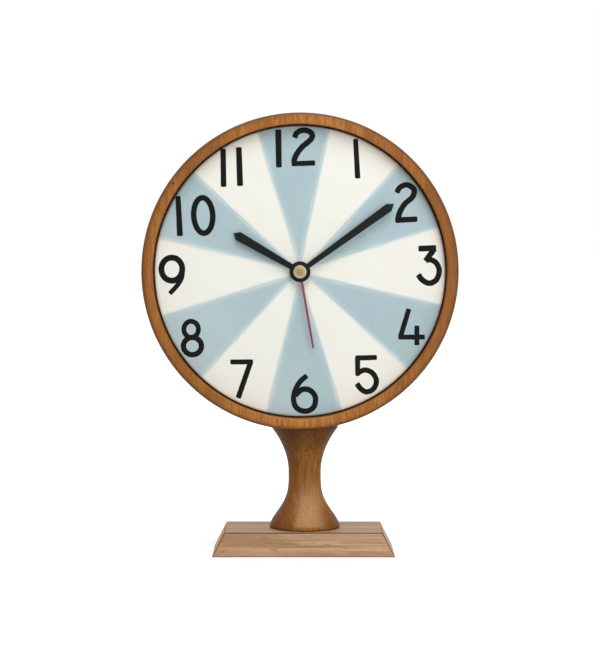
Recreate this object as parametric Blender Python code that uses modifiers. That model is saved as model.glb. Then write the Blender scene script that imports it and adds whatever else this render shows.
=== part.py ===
"""Table clock: a round dial in a turned wooden ring, on a spool-shaped stem and a plinth.

Run it in Blender: blender --background --python part.py

Lengths are metres and +Z is up. The dial faces -Y. The origin is on the ground, under the
middle of the ring. The ring, the dial, the hands and the movement hang from one empty in the
middle of the ring. Seen from that empty, X is to the right and Y is up as the dial is read,
and Z points at the reader.
"""

import math

import bmesh
import bpy

# Clearances that the whole clock shares
SEAT_GAP = 0.0003
RUNNING_GAP = 0.0001
CUT_OVERRUN = 0.001
WELD_DISTANCE = 0.000001

# Wooden ring
RING_OUTER_RADIUS = 0.100
RING_DEPTH = 0.045
LIP_WIDTH = 0.007
LEDGE_WIDTH = 0.008
RING_EDGE_RADIUS = 0.0014
LIP_EDGE_RADIUS = 0.0008

# Dial
DIAL_RECESS = 0.008
DIAL_THICKNESS = 0.006
DIAL_EDGE_GAP = 0.0011
DIAL_EDGE_RADIUS = 0.001

# Turned stem. Its foot swells as half a cosine wave, and its head as a power curve.
STEM_HEIGHT = 0.0639
STEM_OFFSET = 0.003
STEM_FOOT_RADIUS = 0.0224
STEM_WAIST_RADIUS = 0.01035
STEM_WAIST_HEIGHT = 0.0350
STEM_HEAD_RADIUS = 0.0210
STEM_HEAD_FLARE = 0.0112
STEM_EDGE_RADIUS = 0.0006
STEM_RIM = 0.007
FOOT_CURVE_POWER = 1.68
HEAD_CURVE_POWER = 2.2

# Plinth with sloped ends
BASE_HEIGHT = 0.0156
BASE_BOTTOM_LENGTH = 0.1158
BASE_TOP_LENGTH = 0.1003
BASE_DEPTH = 0.053
BASE_OFFSET = 0.0022
BASE_EDGE_RADIUS = 0.0006

# Dowel between stem and ring, and the wood screw through the plinth
DOWEL_RADIUS = 0.004
DOWEL_IN_RING = 0.009
DOWEL_IN_STEM = 0.018
DOWEL_CHAMFER = 0.0006
SCREW_SHANK_RADIUS = 0.0021
SCREW_HEAD_RADIUS = 0.0042
SCREW_HEAD_HEIGHT = 0.0024
SCREW_LENGTH = 0.032
SCREW_POINT_LENGTH = 0.004
SCREW_SINK = 0.0012
SCREW_SLOT_WIDTH = 0.001
SCREW_SLOT_DEPTH = 0.0011

# Hands. Angles are clockwise from twelve, in degrees.
HOUR_HAND_LENGTH = 0.0485
HOUR_HAND_ROOT_WIDTH = 0.0036
HOUR_HAND_END_WIDTH = 0.0059
HOUR_HAND_POINT = 0.0035
HOUR_BOSS_RADIUS = 0.0058
HOUR_HAND_ANGLE = 300.0
MINUTE_HAND_LENGTH = 0.0730
MINUTE_HAND_ROOT_WIDTH = 0.0029
MINUTE_HAND_END_WIDTH = 0.0052
MINUTE_HAND_POINT = 0.0040
MINUTE_BOSS_RADIUS = 0.0063
MINUTE_HAND_ANGLE = 54.15
SECOND_HAND_LENGTH = 0.0490
SECOND_HAND_WIDTH = 0.0009
SECOND_BOSS_RADIUS = 0.0025
SECOND_HAND_ANGLE = 170.1
HAND_THICKNESS = 0.0005
SECOND_HAND_THICKNESS = 0.0003
HAND_SPACING = 0.0005
TUBE_STAND_OUT = 0.0001

# Brass cap over the seconds arbor
CAP_RADIUS = 0.00445
CAP_HEIGHT = 0.0010
CAP_CHAMFER = 0.0003
CAP_PEAK_HEIGHT = 0.0003
CAP_BORE_DEPTH = 0.0005

# Bush, nut, washer and gasket that clamp the movement to the dial
BUSH_WALL = 0.0016
BUSH_STAND_OUT = 0.0002
NUT_ACROSS_FLATS = 0.0108
NUT_HEIGHT = 0.0018
WASHER_RADIUS = 0.0057
WASHER_THICKNESS = 0.0004
GASKET_RADIUS = 0.009
GASKET_THICKNESS = 0.0005

# Arbors and the tubes around them
SECONDS_ARBOR_RADIUS = 0.00045
MINUTE_TUBE_WALL = 0.0007
HOUR_TUBE_WALL = 0.0007
WORK_ARBOR_RADIUS = 0.0006
PIVOT_RADIUS = 0.00045
PIVOT_DEPTH = 0.0008

# Wheels. A wheel and the small pinion on its arbor are one moulding. The wheels lie in layers
# that are counted back from the front of the case, and the train plate is in front of the third.
HOUR_LAYER = 0
WORK_LAYER = 1
CENTRE_LAYER = 2
THIRD_LAYER = 3
SECONDS_LAYER = 4
MOTOR_LAYER = 5
PINION_LEAVES = 8
WORK_WHEEL_TEETH = 24
HOUR_WHEEL_TEETH = 32
CENTRE_WHEEL_TEETH = 64
THIRD_WHEEL_TEETH = 60
SECONDS_WHEEL_TEETH = 40
INTERMEDIATE_WHEEL_TEETH = 48
THIRD_ARBOR_SPACING = 0.0072
ROTOR_ARBOR_SPACING = 0.0056
ARBOR_CLEARANCE = 0.00055
WHEEL_THICKNESS = 0.0008
LAYER_GAP = 0.0004
ADDENDUM_SHARE = 0.75
DEDENDUM_SHARE = 1.15
TOOTH_TIP_SHARE = 0.11
TOOTH_ROOT_SHARE = 0.30
WORK_BEARING = 180.0
THIRD_BEARING = -15.0
MOTOR_BEARING = 90.0

# Battery and its bay at the bottom of the movement
BATTERY_RADIUS = 0.0071
BATTERY_LENGTH = 0.0503
BATTERY_EDGE_RADIUS = 0.0007
BATTERY_NUB_RADIUS = 0.0026
BATTERY_NUB_LENGTH = 0.0013
CONTACT_ROOM = 0.0019
CONTACT_THICKNESS = 0.0003
CONTACT_WIDTH = 0.008
CONTACT_DIMPLE_RADIUS = 0.0022
DIMPLE_TIP_RADIUS = 0.0011
CONTACT_LEAD_WIDTH = 0.003
CONTACT_TAB_LENGTH = 0.0022
BAY_CEILING = 0.001
BAY_CLEARANCE = 0.0004
BAY_RIM = 0.0002
CRADLE_SPACING = 0.026
CRADLE_THICKNESS = 0.0012
CRADLE_DEPTH = 0.0038

# Movement case, in two shells
CASE_WALL = 0.0012
CASE_CORNER_RADIUS = 0.0025
FRONT_WALL = 0.0012
REAR_WALL = 0.0012
FRONT_CASE_DEPTH = 0.0060
SHAFT_TO_BAY = 0.0114
BOSS_RADIUS = 0.0013
BOSS_BORE_DEPTH = 0.0015
POST_RADIUS = 0.0014
POST_INSET = 0.002

# Train plate between the two halves of the wheel train
PLATE_THICKNESS = 0.0010
PLATE_MARGIN = 0.0008
PLATE_TOP_GAP = 0.0005

# Stepping motor
MAGNET_RADIUS = 0.0028
MAGNET_LENGTH = 0.0016
STATOR_THICKNESS = 0.0010
STATOR_WIDTH = 0.032
STATOR_LEG_WIDTH = 0.004
STATOR_MARGIN = 0.0042
STATOR_BORE_RADIUS = 0.0033
COIL_OFFSET = 0.0104
CORE_THICKNESS = 0.0010
CORE_WIDTH = 0.0036
BOBBIN_LENGTH = 0.020
BOBBIN_FLANGE_RADIUS = 0.0043
BOBBIN_FLANGE_THICKNESS = 0.0009
BOBBIN_TUBE_RADIUS = 0.0027
WINDING_RADIUS = 0.0038
WINDING_GAP = 0.0001

# Circuit board and what is on it
BOARD_THICKNESS = 0.0008
BOARD_WIDTH = 0.0100
BOARD_HEIGHT = 0.0186
BOARD_DROP = 0.0047
CHIP_RADIUS = 0.0022
CHIP_HEIGHT = 0.0010
CRYSTAL_RADIUS = 0.0010
CRYSTAL_LENGTH = 0.006
CRYSTAL_EDGE_RADIUS = 0.0003
PARTS_SPACING = 0.002
CHIP_TOP_SHARE = 0.50
CHIP_SIDE_SHARE = 0.75
CHIP_SHOULDER_SHARE = 0.67

# Setting knob behind the movement
KNOB_RADIUS = 0.0056
KNOB_THICKNESS = 0.0034
KNOB_GRIPS = 18
KNOB_GRIP_DEPTH = 0.0004
KNOB_BORE_DEPTH = 0.0024
KNOB_GRIP_SHARE = 0.30

# Counts of sides and of points, and the angle over which an edge is sharp
SHARP_ANGLE = 35.0
RING_SIDES = 64
STEM_SIDES = 32
CAP_SIDES = 24
BATTERY_SIDES = 24
WASHER_SIDES = 20
TUBE_SIDES = 16
COIL_SIDES = 16
DOWEL_SIDES = 16
PIN_SIDES = 12
NUT_SIDES = 6
STEM_POINTS = 8
EDGE_POINTS = 3
CORNER_POINTS = 4

# Sizes worked out from the ones above, in the ring's own axes
OPENING_RADIUS = RING_OUTER_RADIUS - LIP_WIDTH
DIAL_RADIUS = OPENING_RADIUS - DIAL_EDGE_GAP
BORE_RADIUS = OPENING_RADIUS - LEDGE_WIDTH
RING_FRONT = RING_DEPTH / 2
DIAL_FRONT = RING_FRONT - DIAL_RECESS
DIAL_BACK = DIAL_FRONT - DIAL_THICKNESS
CASE_FRONT = DIAL_BACK - 2 * SEAT_GAP - GASKET_THICKNESS
RING_DROP = math.sqrt(RING_OUTER_RADIUS**2 - STEM_OFFSET**2)
STEM_BOTTOM = BASE_HEIGHT + SEAT_GAP
STEM_TOP = STEM_BOTTOM + STEM_HEIGHT
RING_CENTRE = STEM_TOP + SEAT_GAP + RING_DROP

# The coaxial tubes, from the inside out
MINUTE_TUBE_BORE = SECONDS_ARBOR_RADIUS + RUNNING_GAP
MINUTE_TUBE_RADIUS = MINUTE_TUBE_BORE + MINUTE_TUBE_WALL
HOUR_TUBE_BORE = MINUTE_TUBE_RADIUS + RUNNING_GAP
HOUR_TUBE_RADIUS = HOUR_TUBE_BORE + HOUR_TUBE_WALL
BUSH_BORE = HOUR_TUBE_RADIUS + RUNNING_GAP
BUSH_RADIUS = BUSH_BORE + BUSH_WALL

# The stack in front of the dial
WASHER_BACK = DIAL_FRONT + SEAT_GAP
NUT_BACK = WASHER_BACK + WASHER_THICKNESS + SEAT_GAP
BUSH_END = NUT_BACK + NUT_HEIGHT + BUSH_STAND_OUT
HOUR_HAND_BACK = BUSH_END + HAND_SPACING
HOUR_TUBE_END = HOUR_HAND_BACK + HAND_THICKNESS + TUBE_STAND_OUT
MINUTE_HAND_BACK = HOUR_TUBE_END + HAND_SPACING
MINUTE_TUBE_END = MINUTE_HAND_BACK + HAND_THICKNESS + TUBE_STAND_OUT
SECOND_HAND_BACK = MINUTE_TUBE_END + HAND_SPACING
CAP_BACK = SECOND_HAND_BACK + SECOND_HAND_THICKNESS + SEAT_GAP
SECONDS_ARBOR_END = CAP_BACK + CAP_BORE_DEPTH - RUNNING_GAP

# The movement's own sizes. Depths are measured back from the front of its case.
BATTERY_DIAMETER = 2 * BATTERY_RADIUS
CASE_WIDTH = BATTERY_LENGTH + 2 * CONTACT_ROOM + 2 * CASE_WALL
CASE_DEPTH = FRONT_WALL + SEAT_GAP + BATTERY_DIAMETER + BAY_RIM
CASE_INSIDE_HALF = CASE_WIDTH / 2 - CASE_WALL
BAY_TOP = -SHAFT_TO_BAY - BAY_CEILING
BAY_BOTTOM = BAY_TOP - BATTERY_DIAMETER - 2 * BAY_CLEARANCE
CASE_BOTTOM = BAY_BOTTOM - CASE_WALL
BATTERY_HEIGHT = (BAY_TOP + BAY_BOTTOM) / 2
BATTERY_DEPTH = FRONT_WALL + SEAT_GAP + BATTERY_RADIUS
REAR_WALL_INSIDE = CASE_DEPTH - REAR_WALL
CASE_SPLIT = FRONT_CASE_DEPTH + SEAT_GAP


def layer(number):
    """Depth of the front face of a wheel layer, measured from the front of the case."""
    depth = FRONT_WALL + LAYER_GAP + number * (WHEEL_THICKNESS + LAYER_GAP)
    if number >= THIRD_LAYER:
        depth += PLATE_THICKNESS + LAYER_GAP
    return depth


PLATE_FRONT = layer(CENTRE_LAYER) + WHEEL_THICKNESS + LAYER_GAP
PLATE_BACK = PLATE_FRONT + PLATE_THICKNESS
BOSS_TIP = layer(MOTOR_LAYER) + WHEEL_THICKNESS + LAYER_GAP


def pitch_radius(teeth, partner, spacing):
    """Radius at which a gear's teeth roll on its partner's, from the spacing of their arbors."""
    return spacing * teeth / (teeth + partner)


def tip_radius(teeth, partner, spacing):
    """Radius over the teeth of a gear."""
    pitch = pitch_radius(teeth, partner, spacing)
    return pitch + ADDENDUM_SHARE * tooth_module(pitch, teeth)


def tooth_module(pitch, teeth):
    """Size of a gear's teeth: its pitch diameter over their number."""
    return 2 * pitch / teeth


# Spacings of arbors that must leave room for another wheel's arbor
CENTRE_WHEEL_TIP = tip_radius(CENTRE_WHEEL_TEETH, PINION_LEAVES, THIRD_ARBOR_SPACING)
INTERMEDIATE_TIP = tip_radius(INTERMEDIATE_WHEEL_TEETH, PINION_LEAVES, ROTOR_ARBOR_SPACING)
WORK_ARBOR_SPACING = CENTRE_WHEEL_TIP + WORK_ARBOR_RADIUS + ARBOR_CLEARANCE
INTERMEDIATE_ARBOR_SPACING = INTERMEDIATE_TIP + SECONDS_ARBOR_RADIUS + ARBOR_CLEARANCE


def polar(distance, degrees):
    """Point at a distance and a direction from the middle of the dial."""
    return (distance * math.cos(math.radians(degrees)), distance * math.sin(math.radians(degrees)))


SHAFT = (0.0, 0.0)
WORK_PLACE = polar(WORK_ARBOR_SPACING, WORK_BEARING)
THIRD_PLACE = polar(THIRD_ARBOR_SPACING, THIRD_BEARING)
INTERMEDIATE_PLACE = polar(INTERMEDIATE_ARBOR_SPACING, MOTOR_BEARING)
ROTOR_PLACE = polar(INTERMEDIATE_ARBOR_SPACING + ROTOR_ARBOR_SPACING, MOTOR_BEARING)
COIL_HEIGHT = ROTOR_PLACE[1] + COIL_OFFSET
CASE_TOP = COIL_HEIGHT + BOBBIN_FLANGE_RADIUS + BAY_CLEARANCE + CASE_WALL
PLATE_TOP = COIL_HEIGHT - BOBBIN_FLANGE_RADIUS - PLATE_TOP_GAP
PLATE_BOTTOM = -SHAFT_TO_BAY + 2 * SEAT_GAP
PLATE_HALF_WIDTH = CASE_INSIDE_HALF - PLATE_MARGIN
STATOR_FRONT = PLATE_BACK + SEAT_GAP
STATOR_BACK = STATOR_FRONT + STATOR_THICKNESS
CORE_FRONT = STATOR_BACK + SEAT_GAP
COIL_DEPTH = CORE_FRONT + CORE_THICKNESS / 2
BOARD_FRONT = PLATE_BACK + SEAT_GAP
BOARD_BACK = BOARD_FRONT + BOARD_THICKNESS
BOARD_LEFT = PLATE_HALF_WIDTH - BOARD_WIDTH
BOARD_TOP = PLATE_TOP - BOARD_DROP
BOARD_BOTTOM = BOARD_TOP - BOARD_HEIGHT
POST_PLACES = [
    (side * (PLATE_HALF_WIDTH - POST_INSET), height)
    for side in (-1, 1)
    for height in (PLATE_BOTTOM + POST_INSET, PLATE_TOP - POST_INSET)
]
PIVOT_BORE = PIVOT_RADIUS + RUNNING_GAP
TO_RING_CENTRE = (0.0, 0.0, -CASE_FRONT)

# Finishes: base colour, roughness, metallic
FINISHES = {
    "ring_wood": ((0.38, 0.16, 0.05), 0.45, 0.0),
    "stem_wood": ((0.27, 0.10, 0.03), 0.40, 0.0),
    "base_wood": ((0.46, 0.26, 0.13), 0.55, 0.0),
    "dowel_wood": ((0.60, 0.42, 0.22), 0.70, 0.0),
    "glazed_dial": ((0.84, 0.85, 0.80), 0.30, 0.0),
    "black_enamel": ((0.01, 0.01, 0.01), 0.45, 0.0),
    "red_enamel": ((0.55, 0.03, 0.04), 0.40, 0.0),
    "turned_brass": ((0.72, 0.50, 0.22), 0.28, 1.0),
    "steel": ((0.55, 0.55, 0.56), 0.35, 1.0),
    "black_rubber": ((0.02, 0.02, 0.02), 0.80, 0.0),
    "black_plastic": ((0.02, 0.02, 0.022), 0.50, 0.0),
    "white_plastic": ((0.78, 0.77, 0.72), 0.45, 0.0),
    "motor_iron": ((0.40, 0.40, 0.42), 0.45, 1.0),
    "ferrite": ((0.08, 0.08, 0.09), 0.40, 0.6),
    "copper": ((0.70, 0.30, 0.14), 0.35, 1.0),
    "board_green": ((0.03, 0.16, 0.06), 0.50, 0.0),
    "battery_sleeve": ((0.05, 0.06, 0.08), 0.35, 0.2),
}


def clear_scene():
    """Remove every object and collection that the file came with."""
    for obj in list(bpy.data.objects):
        bpy.data.objects.remove(obj, do_unlink=True)
    for group in list(bpy.data.collections):
        bpy.data.collections.remove(group)


clear_scene()
PART = bpy.data.collections.new("table_clock")
CUTTERS = bpy.data.collections.new("cutters")
bpy.context.scene.collection.children.link(PART)
bpy.context.scene.collection.children.link(CUTTERS)


def finish_material(finish):
    """The Principled material of a finish, made once."""
    found = bpy.data.materials.get(finish)
    if found:
        return found
    colour, roughness, metallic = FINISHES[finish]
    made = bpy.data.materials.new(finish)
    made.use_nodes = True
    shader = made.node_tree.nodes["Principled BSDF"]
    shader.inputs["Base Color"].default_value = (*colour, 1.0)
    shader.inputs["Roughness"].default_value = roughness
    shader.inputs["Metallic"].default_value = metallic
    made.diffuse_color = (*colour, 1.0)
    return made


def axis_empty(name, parent=None, location=(0.0, 0.0, 0.0), rotation=(0.0, 0.0, 0.0)):
    """An empty that carries a group of pieces, on the axis that they share."""
    empty = bpy.data.objects.new(name, None)
    empty.empty_display_size = RING_DEPTH
    PART.objects.link(empty)
    empty.parent = parent
    empty.location = location
    empty.rotation_euler = rotation
    return empty


def place(name, mesh, finish, parent, location=(0.0, 0.0, 0.0), rotation=(0.0, 0.0, 0.0)):
    """Make an object. With a finish it is a piece of the clock, and with none a cutter."""
    obj = bpy.data.objects.new(name, mesh)
    if finish:
        PART.objects.link(obj)
        mesh.materials.append(finish_material(finish))
    else:
        CUTTERS.objects.link(obj)
        obj.hide_render = True
        obj.display_type = "WIRE"
    obj.parent = parent
    obj.location = location
    obj.rotation_euler = rotation
    return obj


def combine(target, tool, operation):
    """Cut a tool from a piece, or join it on, with a Boolean modifier."""
    modifier = target.modifiers.new(f"{operation.lower()} {tool.name}", "BOOLEAN")
    modifier.operation = operation
    modifier.solver = "EXACT"
    modifier.object = tool


def mesh_from(bm, name):
    """Turn a bmesh into a mesh with smooth sides and sharp edges."""
    mesh = bpy.data.meshes.new(name)
    bm.to_mesh(mesh)
    bm.free()
    mesh.shade_smooth()
    mesh.set_sharp_from_angle(angle=math.radians(SHARP_ANGLE))
    return mesh


def cylinder(name, radius, low, high, sides=PIN_SIDES, top_radius=None):
    """A cylinder or cone about Z, from one height to another."""
    bm = bmesh.new()
    upper = radius if top_radius is None else top_radius
    bmesh.ops.create_cone(
        bm, cap_ends=True, segments=sides, radius1=radius, radius2=upper, depth=high - low
    )
    bmesh.ops.translate(bm, verts=bm.verts, vec=(0.0, 0.0, (high + low) / 2))
    return mesh_from(bm, name)


def box(name, low, high):
    """A box between two corners."""
    bm = bmesh.new()
    bmesh.ops.create_cube(bm, size=1.0)
    bmesh.ops.scale(bm, verts=bm.verts, vec=[b - a for a, b in zip(low, high)])
    bmesh.ops.translate(bm, verts=bm.verts, vec=[(a + b) / 2 for a, b in zip(low, high)])
    return mesh_from(bm, name)


def flat_plate(name, outlines, low, high):
    """A plate with holes, from closed outlines in the XY plane, between two heights."""
    curve = bpy.data.curves.new(name, "CURVE")
    curve.dimensions = "2D"
    curve.fill_mode = "BOTH"
    curve.extrude = (high - low) / 2
    for outline in outlines:
        spline = curve.splines.new("POLY")
        spline.points.add(len(outline) - 1)
        spline.use_cyclic_u = True
        for point, (x, y) in zip(spline.points, outline):
            point.co = (x, y, 0.0, 1.0)
    drawn = bpy.data.objects.new(name, curve)
    bpy.context.scene.collection.objects.link(drawn)
    bpy.context.view_layer.update()
    mesh = bpy.data.meshes.new_from_object(drawn.evaluated_get(bpy.context.evaluated_depsgraph_get()))
    bpy.data.objects.remove(drawn)
    bpy.data.curves.remove(curve)
    bm = bmesh.new()
    bm.from_mesh(mesh)
    bpy.data.meshes.remove(mesh)
    bmesh.ops.remove_doubles(bm, verts=bm.verts, dist=WELD_DISTANCE)
    bmesh.ops.translate(bm, verts=bm.verts, vec=(0.0, 0.0, (high + low) / 2))
    return mesh_from(bm, name)


def turned(name, profile, sides, finish, parent, location=(0.0, 0.0, 0.0), rotation=(0.0, 0.0, 0.0)):
    """Turn a profile of (radius, height) points about Z with a Screw modifier.

    A profile that starts on the axis is open there. Any other is a closed loop.
    """
    mesh = bpy.data.meshes.new(name)
    count = len(profile)
    edges = [(i, i + 1) for i in range(count - 1)]
    if profile[0][0] > 0:
        edges.append((count - 1, 0))
    mesh.from_pydata([(radius, 0.0, height) for radius, height in profile], edges, [])
    obj = place(name, mesh, finish, parent, location, rotation)
    screw = obj.modifiers.new("turn", "SCREW")
    screw.axis = "Z"
    screw.angle = math.tau
    screw.steps = sides
    screw.render_steps = sides
    screw.use_merge_vertices = True
    screw.merge_threshold = WELD_DISTANCE
    return obj


def arc(centre, radius, start, end, points=EDGE_POINTS):
    """Points of an arc between two directions in degrees, ends included."""
    turn = (end - start) / (points - 1)
    return [
        (
            centre[0] + radius * math.cos(math.radians(start + turn * i)),
            centre[1] + radius * math.sin(math.radians(start + turn * i)),
        )
        for i in range(points)
    ]


def circle(radius, sides, centre=SHAFT):
    """Points of a circle."""
    return arc(centre, radius, 0.0, 360.0, sides + 1)[:-1]


def rounded_rectangle(left, right, bottom, top, radius):
    """Points of a rectangle with round corners, anticlockwise from the right."""
    corners = (
        (right - radius, top - radius, 0.0),
        (left + radius, top - radius, 90.0),
        (left + radius, bottom + radius, 180.0),
        (right - radius, bottom + radius, 270.0),
    )
    outline = []
    for x, y, start in corners:
        outline += arc((x, y), radius, start, start + 90.0, CORNER_POINTS)
    return outline


def make_ring(dial_axis):
    """Wooden ring: front lip, ledge that the dial sits against, and open back."""
    front = RING_FRONT
    edge = RING_EDGE_RADIUS
    lip = LIP_EDGE_RADIUS
    profile = arc((RING_OUTER_RADIUS - edge, front - edge), edge, 90.0, 0.0)
    profile += arc((RING_OUTER_RADIUS - edge, edge - front), edge, 0.0, -90.0)
    profile += arc((BORE_RADIUS + lip, lip - front), lip, 270.0, 180.0)
    profile += [(BORE_RADIUS, DIAL_BACK - SEAT_GAP), (OPENING_RADIUS, DIAL_BACK - SEAT_GAP)]
    profile += arc((OPENING_RADIUS + lip, front - lip), lip, 180.0, 90.0)
    ring = turned("frame_ring", profile, RING_SIDES, "ring_wood", dial_axis)
    high = DOWEL_IN_RING + SEAT_GAP
    mesh = cylinder("ring_dowel_hole", DOWEL_RADIUS + SEAT_GAP, -CUT_OVERRUN, high, DOWEL_SIDES)
    hole = place("ring_dowel_hole", mesh, None, None, (STEM_OFFSET, 0.0, STEM_TOP + SEAT_GAP))
    combine(ring, hole, "DIFFERENCE")


def make_dial(dial_axis):
    """Glazed dial with a hole for the movement's bush."""
    edge = DIAL_EDGE_RADIUS
    hole = BUSH_RADIUS + SEAT_GAP
    profile = arc((DIAL_RADIUS - edge, DIAL_FRONT - edge), edge, 90.0, 0.0)
    profile += [(DIAL_RADIUS, DIAL_BACK), (hole, DIAL_BACK), (hole, DIAL_FRONT)]
    turned("dial", profile, RING_SIDES, "glazed_dial", dial_axis)


def stem_radius(height):
    """Radius of the spool at a height over its foot."""
    if height < STEM_WAIST_HEIGHT:
        along = ((STEM_WAIST_HEIGHT - height) / STEM_WAIST_HEIGHT) ** FOOT_CURVE_POWER
        swell = (1 - math.cos(math.pi * along)) / 2
        return STEM_WAIST_RADIUS + (STEM_FOOT_RADIUS - STEM_WAIST_RADIUS) * swell
    along = (height - STEM_WAIST_HEIGHT) / (STEM_HEIGHT - STEM_WAIST_HEIGHT)
    return min(STEM_HEAD_RADIUS, STEM_WAIST_RADIUS + STEM_HEAD_FLARE * along**HEAD_CURVE_POWER)


def make_stem():
    """Turned spool, hollowed on top to sit against the ring."""
    top = STEM_HEIGHT + STEM_RIM
    edge = STEM_EDGE_RADIUS
    head_start = (STEM_HEAD_RADIUS - STEM_WAIST_RADIUS) / STEM_HEAD_FLARE
    head_rise = STEM_HEIGHT - STEM_WAIST_HEIGHT
    head_height = STEM_WAIST_HEIGHT + head_rise * head_start ** (1 / HEAD_CURVE_POWER)
    profile = [(0.0, top), (STEM_HEAD_RADIUS, top)]
    for i in range(STEM_POINTS):
        height = head_height - (head_height - STEM_WAIST_HEIGHT) * i / STEM_POINTS
        profile.append((stem_radius(height), height))
    for i in range(STEM_POINTS + 1):
        height = STEM_WAIST_HEIGHT - (STEM_WAIST_HEIGHT - edge) * i / STEM_POINTS
        profile.append((stem_radius(height), height))
    profile += [(STEM_FOOT_RADIUS - edge, 0.0), (0.0, 0.0)]
    stem = turned("stem", profile, STEM_SIDES, "stem_wood", None, (STEM_OFFSET, 0.0, STEM_BOTTOM))
    reach = STEM_HEAD_RADIUS + CUT_OVERRUN
    mesh = cylinder("stem_saddle", RING_OUTER_RADIUS + SEAT_GAP, -reach, reach, RING_SIDES)
    turn = (math.radians(90.0), 0.0, 0.0)
    saddle = place("stem_saddle", mesh, None, None, (0.0, 0.0, RING_CENTRE), turn)
    combine(stem, saddle, "DIFFERENCE")
    low = -DOWEL_IN_STEM - SEAT_GAP
    mesh = cylinder("stem_dowel_hole", DOWEL_RADIUS + SEAT_GAP, low, STEM_RIM, DOWEL_SIDES)
    combine(stem, place("stem_dowel_hole", mesh, None, None, (STEM_OFFSET, 0.0, STEM_TOP)), "DIFFERENCE")
    combine(stem, screw_body("stem_screw_hole", SEAT_GAP, None), "DIFFERENCE")


def make_base():
    """Plinth with sloped ends, and a hole for the screw."""
    half_bottom = BASE_BOTTOM_LENGTH / 2
    half_top = BASE_TOP_LENGTH / 2
    outline = [
        (half_bottom, 0.0),
        (half_top, BASE_HEIGHT),
        (-half_top, BASE_HEIGHT),
        (-half_bottom, 0.0),
    ]
    mesh = flat_plate("base", [outline], -BASE_DEPTH / 2, BASE_DEPTH / 2)
    turn = (math.radians(90.0), 0.0, 0.0)
    base = place("base", mesh, "base_wood", None, (BASE_OFFSET, 0.0, 0.0), turn)
    bevel = base.modifiers.new("eased edges", "BEVEL")
    bevel.width = BASE_EDGE_RADIUS
    bevel.segments = 2
    bevel.limit_method = "ANGLE"
    combine(base, screw_body("base_screw_hole", SEAT_GAP, None), "DIFFERENCE")


def screw_body(name, clearance, finish):
    """The wood screw, or with a clearance the hole that it needs, open at the plinth's foot."""
    head = SCREW_HEAD_RADIUS + clearance
    shank = SCREW_SHANK_RADIUS + clearance
    profile = [
        (0.0, SCREW_LENGTH + clearance),
        (shank, SCREW_LENGTH - SCREW_POINT_LENGTH + clearance),
        (shank, SCREW_HEAD_HEIGHT + clearance),
        (head, clearance),
    ]
    if clearance:
        foot = -SCREW_SINK - CUT_OVERRUN
        profile += [(head, foot), (0.0, foot)]
    else:
        profile.append((0.0, 0.0))
    return turned(name, profile, DOWEL_SIDES, finish, None, (STEM_OFFSET, 0.0, SCREW_SINK))


def make_fasteners():
    """Dowel in the stem and ring, and the slotted wood screw in the plinth."""
    low = -DOWEL_IN_STEM
    high = DOWEL_IN_RING + SEAT_GAP
    inner = DOWEL_RADIUS - DOWEL_CHAMFER
    profile = [
        (0.0, high),
        (inner, high),
        (DOWEL_RADIUS, high - DOWEL_CHAMFER),
        (DOWEL_RADIUS, low + DOWEL_CHAMFER),
        (inner, low),
        (0.0, low),
    ]
    turned("stem_dowel", profile, DOWEL_SIDES, "dowel_wood", None, (STEM_OFFSET, 0.0, STEM_TOP))
    screw = screw_body("base_screw", 0.0, "steel")
    reach = SCREW_HEAD_RADIUS + CUT_OVERRUN
    half = SCREW_SLOT_WIDTH / 2
    slot = box("screw_slot", (-reach, -half, -CUT_OVERRUN), (reach, half, SCREW_SLOT_DEPTH))
    combine(screw, place("screw_slot", slot, None, screw), "DIFFERENCE")


def hand_outline(length, root_width, end_width, point, boss_radius):
    """Outline of a hand that points up: round boss, widening blade and pointed end."""
    root = root_width / 2
    end = end_width / 2
    join = math.degrees(math.asin(root / boss_radius))
    outline = arc(SHAFT, boss_radius, 90.0 + join, 450.0 - join, WASHER_SIDES)
    return outline + [(end, length - point), (0.0, length), (-end, length - point)]


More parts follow.
